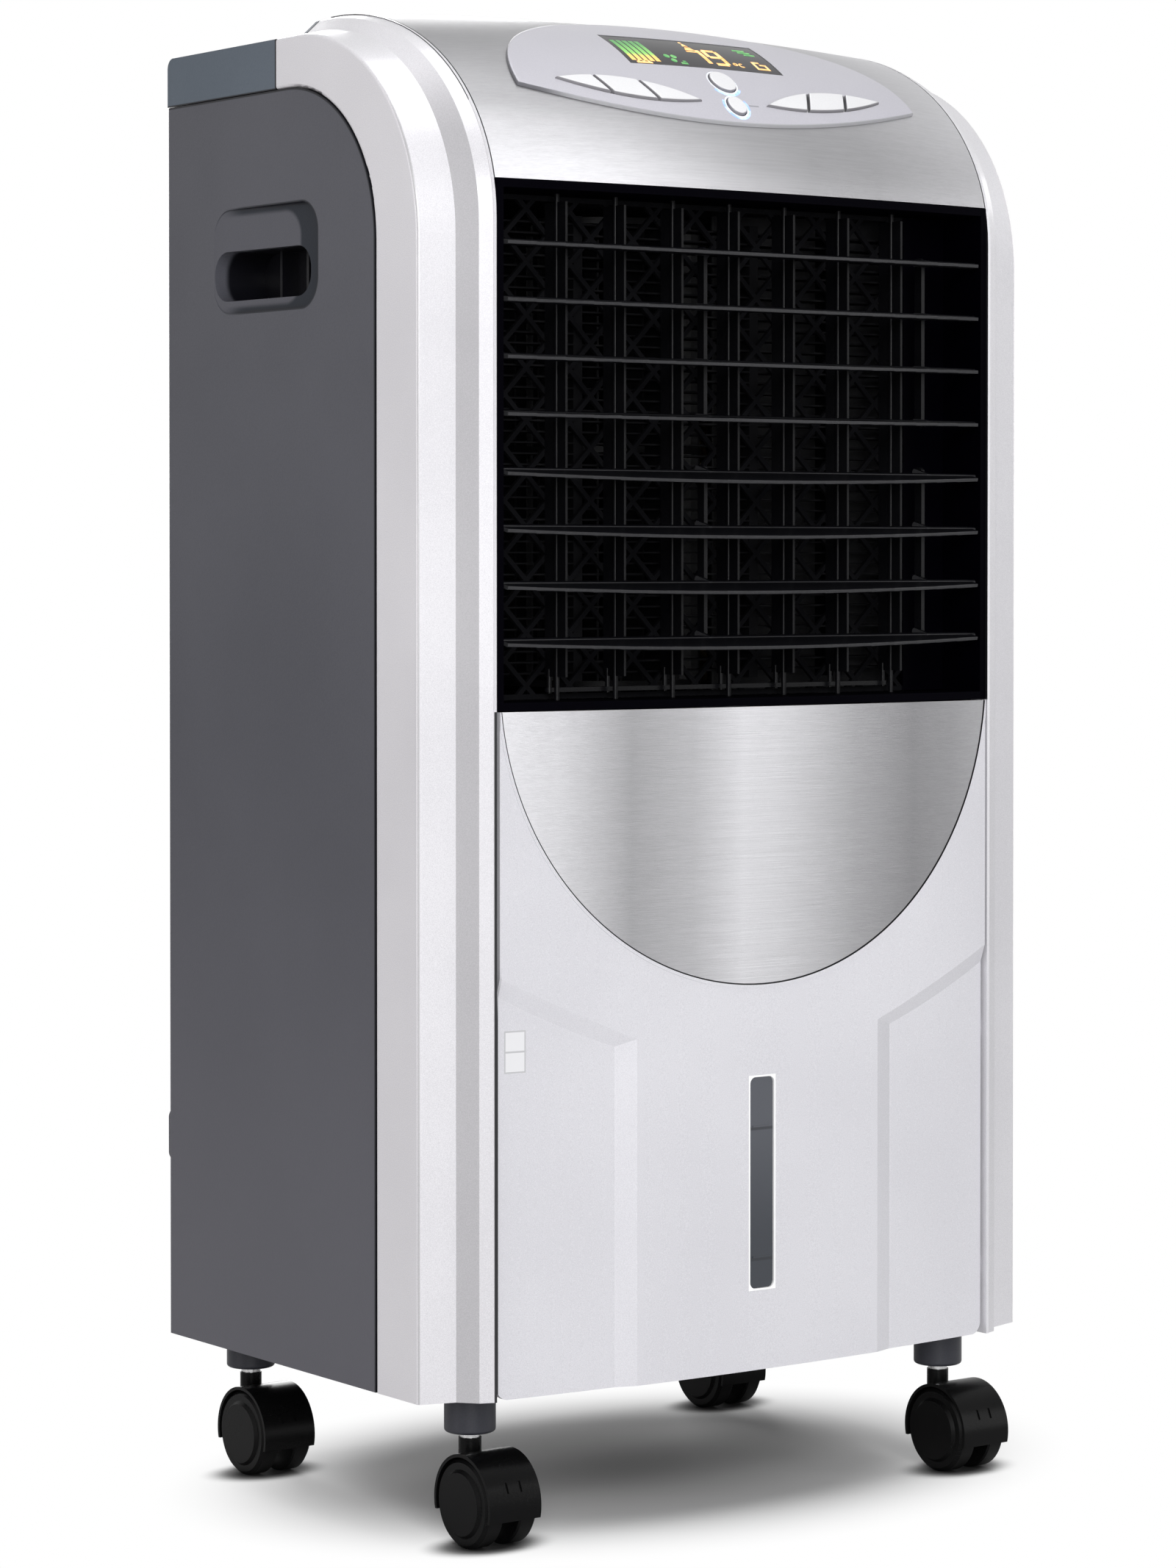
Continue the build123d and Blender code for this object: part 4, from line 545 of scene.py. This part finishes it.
def inlaid(name, tree, shapes, finish, height, sink=0.15):
    """Thin plates of given outlines (mm on the slope) that follow the surface under them.
    They stand out of it by a height and reach into it by a sink, both in mm."""
    longest_step = 3.0
    made = bmesh.new()
    for outline in shapes:
        points = []
        for (x0, s0), (x1, s1) in zip(outline, outline[1:] + outline[:1]):
            steps = max(1, math.ceil(math.dist((x0, s0), (x1, s1)) / longest_step))
            points += [(x0 + (x1 - x0) * i / steps, s0 + (s1 - s0) * i / steps) for i in range(steps)]
        top = [made.verts.new(on_slope(tree, x, s, height)) for x, s in points]
        foot = [made.verts.new(on_slope(tree, x, s, -sink)) for x, s in points]
        made.faces.new(top)
        made.faces.new(foot[::-1])
        for i in range(len(points)):
            j = (i + 1) % len(points)
            made.faces.new((top[i], foot[i], foot[j], top[j]))
    bmesh.ops.triangulate(made, faces=made.faces)
    bmesh.ops.recalc_face_normals(made, faces=made.faces)
    mesh = bpy.data.meshes.new(name)
    made.to_mesh(mesh)
    made.free()
    piece = bpy.data.objects.new(name, mesh)
    bpy.context.scene.collection.objects.link(piece)
    mesh.materials.append(finish.material)
    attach(piece, "cabinet")


def light_up(finish, tone, strength):
    """Matt plastic that glows in its own colour."""
    finish.shade(
        {
            "Base Color": tone,
            "Roughness": 0.4,
            "Emission Color": tone,
            "Emission Strength": strength,
        }
    )


def glowing(name, low, high, strength):
    """Lit display element: colour drifts between two tones."""
    finish = Finish(name)
    tone = finish.mix(finish.noise(260.0, 2.0).ramp(0.35, 0.65), low, high)
    light_up(finish, tone, strength)
    return finish


def rectangle(x, s, half_x, half_s, lean=0.0):
    """Outline of an upright or leaning bar round a place on the slope."""
    shift = lean * half_s
    return [
        (x - half_x - shift, s - half_s),
        (x + half_x - shift, s - half_s),
        (x + half_x + shift, s + half_s),
        (x - half_x + shift, s + half_s),
    ]


def disc(x, s, radius_x, radius_s):
    """Outline of an oval round a place on the slope."""
    sides = 12
    turns = [math.radians(360.0 * i / sides) for i in range(sides)]
    return [(x + radius_x * math.cos(t), s + radius_s * math.sin(t)) for t in turns]


def ring_parts(x, s, inner, outer, start=0.0, sweep=360.0, parts=24):
    """Short pieces of an oval ring between two pairs of half axes."""
    quads = []
    for i in range(parts):
        a, b = (math.radians(start + sweep * k / parts) for k in (i, i + 1))
        quads.append(
            [
                (x + inner[0] * math.cos(a), s + inner[1] * math.sin(a)),
                (x + outer[0] * math.cos(a), s + outer[1] * math.sin(a)),
                (x + outer[0] * math.cos(b), s + outer[1] * math.sin(b)),
                (x + inner[0] * math.cos(b), s + inner[1] * math.sin(b)),
            ]
        )
    return quads


# Ends of the seven bars of a figure, in half widths and half heights
figure_bars = {
    "a": ((-1, 1), (1, 1)),
    "b": ((1, 1), (1, 0)),
    "c": ((1, 0), (1, -1)),
    "d": ((-1, -1), (1, -1)),
    "e": ((-1, 0), (-1, -1)),
    "f": ((-1, 1), (-1, 0)),
    "g": ((-1, 0), (1, 0)),
}


def digit(x, s, lit):
    """Outlines of the lit bars of a seven-bar figure."""
    half_x = 3.6
    half_s = 7.2
    stroke = 1.15
    gap = 0.15
    bars = []
    for bar in lit:
        (across, one_end), (_, other_end) = figure_bars[bar]
        if one_end == other_end:
            bars.append(rectangle(x, s + one_end * half_s, half_x - gap, stroke))
        else:
            bar_middle = s + (one_end + other_end) / 2 * half_s
            bars.append(rectangle(x + across * half_x, bar_middle, stroke, half_s / 2 - gap))
    return bars


lens_surface = surface_of("display_window")
mark_height = 0.08
green_glow = glowing("green light", (0.06, 0.30, 0.08), (0.16, 0.46, 0.14), 0.40)
amber_glow = glowing("amber light", (0.85, 0.42, 0.12), (1.0, 0.60, 0.26), 0.75)

# The level bars turn from amber at their foot to green at their top
bar_glow = Finish("level bars")
bar_share = bar_glow.along(1) * 49.0 + 4.06
bar_stops = [
    (0.0, (0.90, 0.50, 0.16)),
    (0.38, (0.80, 0.52, 0.14)),
    (0.55, (0.22, 0.52, 0.12)),
    (1.0, (0.08, 0.26, 0.08)),
]
bar_tone = bar_glow.node("ValToRGB", {"stops": bar_stops}, {0: bar_share})
light_up(bar_glow, bar_tone, 0.6)
level_bars = [rectangle(-40.6 + 3.5 * i, 4.4, 1.25, 10.8) for i in range(5)]
inlaid("level_bars", lens_surface, level_bars, bar_glow, mark_height)

level_foot = [
    rectangle(-35.6, -8.0, 4.4, 0.7),
    rectangle(-38.6, -6.8, 0.6, 0.5),
    rectangle(-35.6, -6.8, 0.6, 0.5),
    rectangle(-32.6, -6.8, 0.6, 0.5),
]
inlaid("level_foot", lens_surface, level_foot, amber_glow, mark_height)

figures = digit(1.6, 2.7, "bc") + digit(12.2, 2.7, "abcdfg")
inlaid("figures", lens_surface, figures, amber_glow, mark_height)

degree_sign = ring_parts(20.4, -3.0, (0.6, 0.6), (1.4, 1.4), parts=12)
open_ring = ring_parts(23.8, -3.6, (0.9, 1.1), (1.7, 2.0), 50, 260, 12)
inlaid("unit_mark", lens_surface, degree_sign + open_ring, amber_glow, mark_height)

heat_icon = [
    [(-1.6, 9.0), (4.4, 9.0), (2.9, 12.6), (0.2, 12.6)],
    [(-0.2, 13.8), (3.1, 13.8), (1.9, 17.0), (1.1, 17.0)],
    rectangle(1.4, 18.6, 0.7, 0.7),
    rectangle(1.4, 7.4, 3.4, 0.6),
]
inlaid("heat_icon", lens_surface, heat_icon, amber_glow, mark_height)

fan_blades = [disc(-16.4 + 2.3 * math.cos(t), -1.4 + 2.7 * math.sin(t), 1.6, 1.8) for t in (0.5, 2.6, 4.7)]
fan_stand = [rectangle(-11.6, -6.4, 1.9, 0.8), rectangle(-10.6, -4.4, 0.9, 0.5)]
inlaid("fan_icon", lens_surface, fan_blades + fan_stand, green_glow, mark_height)

wave_icon = [
    rectangle(33.6, 14.6, 3.6, 0.9, 0.3),
    rectangle(35.3, 12.2, 3.8, 0.9, 0.3),
    rectangle(37.0, 9.8, 3.2, 0.9, 0.3),
]
inlaid("wave_icon", lens_surface, wave_icon, green_glow, mark_height)

timer_icon = [
    rectangle(34.6, 1.0, 2.2, 0.7),
    rectangle(32.9, -2.2, 0.7, 2.5),
    rectangle(36.1, -5.4, 3.9, 0.7),
    rectangle(39.3, -2.6, 0.7, 2.0),
    rectangle(37.4, -1.2, 1.4, 0.6),
]
inlaid("timer_icon", lens_surface, timer_icon, amber_glow, mark_height)

# ---------------------------------------------------------------------------
# Light rings: a pale ring and a lit blue arc of clear plastic round the power key
# and the select key, let into the bezel, with one fine printed line beside them.
# ---------------------------------------------------------------------------
bezel_surface = surface_of("control_panel")
ring_sink = 0.3
power_place = (1.0, -21.5)
select_place = (0.5, -38.0)
ring_finish = glowing("ring white", (0.80, 0.83, 0.90), (0.90, 0.92, 0.97), 0.10)
for name, place, half_x, half_s in (("power", power_place, 6.7, 7.3), ("select", select_place, 5.0, 5.5)):
    ring = ring_parts(*place, (half_x + 0.5, half_s + 0.5), (half_x + 1.3, half_s + 1.3))
    inlaid(f"{name}_ring", bezel_surface, ring, ring_finish, 0.12, ring_sink)

blue_glow = glowing("blue light", (0.22, 0.36, 0.95), (0.45, 0.60, 1.0), 0.9)
power_arc = ring_parts(*power_place, (8.0, 8.6), (9.4, 9.9), 215, 110)
inlaid("power_light", bezel_surface, power_arc, blue_glow, 0.1, ring_sink)
select_arc = ring_parts(*select_place, (6.3, 6.8), (7.3, 7.8), 150, 240)
inlaid("select_light", bezel_surface, select_arc, blue_glow, 0.1, ring_sink)

line_grey = moulded("line grey", (0.26, 0.26, 0.29), (0.30, 0.30, 0.33), 0.4, 1500.0)
bezel_line = [rectangle(11.2, -37.0, 2.8, 0.35)]
inlaid("bezel_line", bezel_surface, bezel_line, line_grey, 0.05, ring_sink)

# ---------------------------------------------------------------------------
# Outlet frame: a black moulding, with a guard plate of diagonal ribs fixed in it
# behind the vanes. The guard is a little greyer, but not its blank field at the right.
# ---------------------------------------------------------------------------
deep_black = (0.0003, 0.0002, 0.0010)
soft_black = (0.0008, 0.0006, 0.0018)
grille_black = moulded("grille black", deep_black, soft_black, 0.48, 900.0, gloss=0.015)
guard_front = -0.0870
blank_field = 0.11325
off_blank = 1 - grille_black.along(0).past(blank_field, 0.00025)
on_guard = grille_black.along(1).past(guard_front, 0.0002) * off_blank
repaint(grille_black, on_guard, (0.0055, 0.0055, 0.0064))
dress(grille_black, "outlet_frame")

# ---------------------------------------------------------------------------
# Louvres, the swing vanes behind them and the link bars that tie them: black
# mouldings on end pivots. Painted shade makes a louvre's flat faces darker than its edges.
# ---------------------------------------------------------------------------
louvre_black = moulded("louvre black", (0.028, 0.028, 0.030), (0.040, 0.040, 0.043), 0.34, 700.0, gloss=0.15)
repaint(louvre_black, abs(louvre_black.facing(2)).ramp(0.45, 0.75), (0.003, 0.003, 0.004))
dress(louvre_black, *[f"{group}_louvre_{i}" for group in ("upper", "lower") for i in range(1, 5)])
vane_black = moulded("vane black", (0.002, 0.002, 0.003), (0.006, 0.006, 0.007), 0.34, 800.0, gloss=0.15)
dress(vane_black, "vane_link_bar", "upper_link_bars", "lower_link_bars")
dress(vane_black, *[f"swing_vane_{i}" for i in range(1, 8)])

# ---------------------------------------------------------------------------
# Lower front panel: one pearl silver moulding with two sunk fields, a slot for the water
# window with a painted highlight round it, and a round seat for the inlay, unlacquered in the joint.
# ---------------------------------------------------------------------------
panel_pearl = Finish("panel pearl")
panel_x = panel_pearl.along(0)
panel_z = panel_pearl.along(2)
inlay_height = 0.3873
inlay_edge = 0.1421
panel_left = -0.1411
# The inlay's joint shows the black of the plastic, and painted shade darkens the panel's lower left rim by
# the seam
in_joint = 1 - abs(panel_x).hypot(panel_z - inlay_height).ramp(inlay_edge + 0.00002, inlay_edge + 0.00012)
left_rim_shade = (1 - panel_x.past(panel_left, 0.0001)) * (1 - panel_z.ramp(0.235, 0.262))
# Painted highlight: a pale band round the window slot, where its edge would catch the light
slot_highlight = (0.95, 0.95, 0.96)
slot_middle = 0.1536
slot_half_x = 0.007
slot_half_z = 0.0489
from_slot = (abs(panel_x) - slot_half_x).math("MAXIMUM", abs(panel_z - slot_middle) - slot_half_z)
off_slot = from_slot.ramp(0.0007, 0.0010)
pearl(
    panel_pearl,
    panel_pearl.mix(off_slot, slot_highlight, (0.600, 0.595, 0.633)),
    panel_pearl.mix(off_slot, slot_highlight, (0.700, 0.695, 0.733)),
    in_joint.math("MAXIMUM", left_rim_shade),
)
# A small sign of two blank squares is printed at the left
sign_x = -0.1325
sign_z = 0.2220
sign_half_x = 0.0055
sign_half_z = 0.0095
off_middle = abs(panel_z - sign_z)
from_sign = (abs(panel_x - sign_x) - sign_half_x).math("MAXIMUM", off_middle - sign_half_z)
on_sign = 1 - from_sign.past(0.0, 0.0001)
sign_line = 1 - abs(from_sign + 0.0003).math("MINIMUM", off_middle).ramp(0.0003, 0.0005)
repaint(panel_pearl, on_sign, (0.76, 0.76, 0.78))
repaint(panel_pearl, on_sign * sign_line, (0.50, 0.50, 0.52))
dress(panel_pearl, "front_panel")

# ---------------------------------------------------------------------------
# Half-disc inlay: brushed silver film on a thin plate, glued into its seat in the
# front panel, just below the outlet.
# ---------------------------------------------------------------------------
# Painted reflection: light and dark bands across the inlay's film
inlay_reflection_bands = [
    (0.0, grey(0.94)),
    (0.10, grey(0.80)),
    (0.24, grey(0.43)),
    (0.36, grey(0.53)),
    (0.46, grey(0.73)),
    (0.53, grey(0.66)),
    (0.70, grey(0.39)),
    (0.83, grey(0.27)),
    (0.92, grey(0.32)),
    (1.0, grey(0.42)),
]
inlay_half_width = 0.141
inlay_foil = brushed("inlay foil", inlay_half_width, inlay_reflection_bands)
dress(inlay_foil, "front_inlay")

# ---------------------------------------------------------------------------
# Water window: a strip of smoky clear plastic pressed into the panel's slot. It
# is darker towards its foot, and has a fine line for the lowest and highest level.
# ---------------------------------------------------------------------------
window_finish = Finish("water window")
window_z = window_finish.along(2)
paler_up = window_z.ramp(0.12, 0.19)
window_finish.shade(
    {
        "Base Color": window_finish.mix(paler_up, (0.030, 0.035, 0.045), (0.075, 0.080, 0.095)),
        "Roughness": 0.14 + window_finish.noise(40.0, 3.0) * 0.10,
        "Coat Weight": 0.3,
    }
)
lowest_level = 0.1180
highest_level = 0.1785
off_line = abs(window_z - lowest_level).math("MINIMUM", abs(window_z - highest_level))
repaint(window_finish, (1 - off_line.ramp(0.0004, 0.0009)) * 0.6, (0.010, 0.012, 0.016))
dress(window_finish, "level_window")

# ---------------------------------------------------------------------------
# Base tray and casters: a slate tray with collars that hold bright steel stems,
# and black hoods with twin wheels on one axle. The case screws are steel too.
# ---------------------------------------------------------------------------
collar_slate = moulded("collar slate", (0.026, 0.027, 0.034), (0.036, 0.037, 0.046), 0.36, 1200.0, gloss=0.25)
dress(collar_slate, "base_tray")
caster_black = moulded("caster black", (0.002, 0.002, 0.0022), (0.004, 0.004, 0.004), 0.26, 900.0, gloss=0.10)
for corner in ("front_left", "front_right", "rear_left", "rear_right"):
    dress(caster_black, f"caster_hood_{corner}", f"caster_wheels_{corner}")

steel_finish = Finish("bright steel")
turning_marks = steel_finish.noise(300.0, 3.0, (1, 1, 12))
steel_finish.shade(
    {
        "Base Color": steel_finish.mix(turning_marks, (0.52, 0.52, 0.53), (0.70, 0.70, 0.70)),
        "Metallic": 1.0,
        "Roughness": 0.18 + steel_finish.noise(500.0, 3.0) * 0.15,
    }
)
dress(steel_finish, "caster_stems", "case_screws")

# ---------------------------------------------------------------------------
# Rear grille: charcoal moulding with raised ribs and a fine black dust mesh
# stretched behind them. It pulls off to the back.
# ---------------------------------------------------------------------------
grille_finish = Finish("rear grille")
grille_y = grille_finish.along(1)
# The dust mesh lies behind the foot of the ribs, and painted shade darkens the ribs
# towards their foot, so that they pale towards their outer faces
rib_foot = 0.116075
rib_rise = (0.1163, 0.1188)
behind = 1 - grille_y.past(rib_foot, 0.000125)
rib_depth_shade = grille_y.ramp(*rib_rise)
# Threads cross every 1.4 mm, each about as wide as the gap beside it
half_step = 0.0007
to_half_steps = 1400.0
threads_x = (grille_finish.along(0).math("PINGPONG", half_step) * to_half_steps).ramp(0.35, 0.65)
threads_z = (grille_finish.along(2).math("PINGPONG", half_step) * to_half_steps).ramp(0.35, 0.65)
weave = threads_x.math("MAXIMUM", threads_z)
grille_finish.shade(
    {
        "Base Color": grille_finish.mix(
            behind,
            grille_finish.mix(rib_depth_shade, (0.012, 0.012, 0.014), (0.066, 0.068, 0.078)),
            grille_finish.mix(weave, (0.002, 0.002, 0.003), (0.012, 0.012, 0.014)),
        ),
        "Roughness": 0.42 + grille_finish.noise(60.0, 3.0) * 0.08,
        "Normal": grille_finish.bump(weave * behind, 0.0002),
    }
)
dress(grille_finish, "rear_grille")

# ---------------------------------------------------------------------------
# Cooling pad: fluted sheets of brown paper glued into a block, in a frame that
# clips to the inside of the rear grille and comes out with it.
# ---------------------------------------------------------------------------
pad_finish = Finish("pad paper")
flute = pad_finish.node(
    "TexWave",
    {"bands_direction": "DIAGONAL"},
    {"Vector": pad_finish.place(), "Scale": 60.0, "Distortion": 3.0, "Detail": 2.0},
)
pad_finish.shade(
    {
        "Base Color": pad_finish.mix(flute, (0.16, 0.11, 0.055), (0.42, 0.31, 0.17)),
        "Roughness": 0.9,
        "Normal": pad_finish.bump(flute, 0.001),
    }
)
dress(pad_finish, "cooling_pad")

# ---------------------------------------------------------------------------
# Water tank of smoky plastic, which slides out at the back, and the plain black
# mouldings round it: pump, cord gland, blower housing and blower wheel.
# ---------------------------------------------------------------------------
tank_finish = moulded("tank smoke", (0.16, 0.175, 0.20), (0.22, 0.235, 0.26), 0.22, 500.0, coat=0.4)
dress(tank_finish, "water_tank")
inner_black = moulded("inner black", (0.010, 0.010, 0.012), (0.018, 0.018, 0.020), 0.45, 800.0, gloss=0.2)
dress(inner_black, "water_pump", "cord_gland", "blower_housing", "blower_wheel")

# ---------------------------------------------------------------------------
# Works inside: fan motor and swing motor in zinc cases, heater with aluminium
# fins, and the green control board with its tracks.
# ---------------------------------------------------------------------------
zinc = Finish("zinc case")
crystals = zinc.node("TexVoronoi", sockets={"Vector": zinc.place(), "Scale": 130.0})
zinc.shade(
    {
        "Base Color": zinc.mix(crystals, (0.16, 0.165, 0.175), (0.28, 0.285, 0.30)),
        "Metallic": 0.8,
        "Roughness": 0.35 + zinc.noise(80.0, 3.0) * 0.15,
    }
)
dress(zinc, "fan_motor", "swing_motor")

fin_finish = Finish("heater fins")
# Painted shade: the fins are coloured near black, for the shade deep inside the cabinet
fin_dust = fin_finish.noise(90.0, 4.0)
fin_finish.shade(
    {
        "Base Color": fin_finish.mix(fin_dust, (0.0025, 0.0025, 0.0030), (0.0060, 0.0060, 0.0070)),
        "Metallic": 0.3,
        "Roughness": 0.55 + fin_finish.noise(200.0, 2.0) * 0.1,
        "Specular IOR Level": 0.1,
    }
)
dress(fin_finish, "ptc_heater")

board_finish = Finish("circuit board")
tracks = board_finish.noise(150.0, 2.0).ramp(0.48, 0.55)
board_finish.shade(
    {
        "Base Color": board_finish.mix(tracks, (0.01, 0.10, 0.03), (0.03, 0.20, 0.07)),
        "Roughness": 0.3,
        "Coat Weight": 0.3,
        "Normal": board_finish.bump(board_finish.noise(400.0, 1.0), 0.00005),
    }
)
dress(board_finish, "control_board")
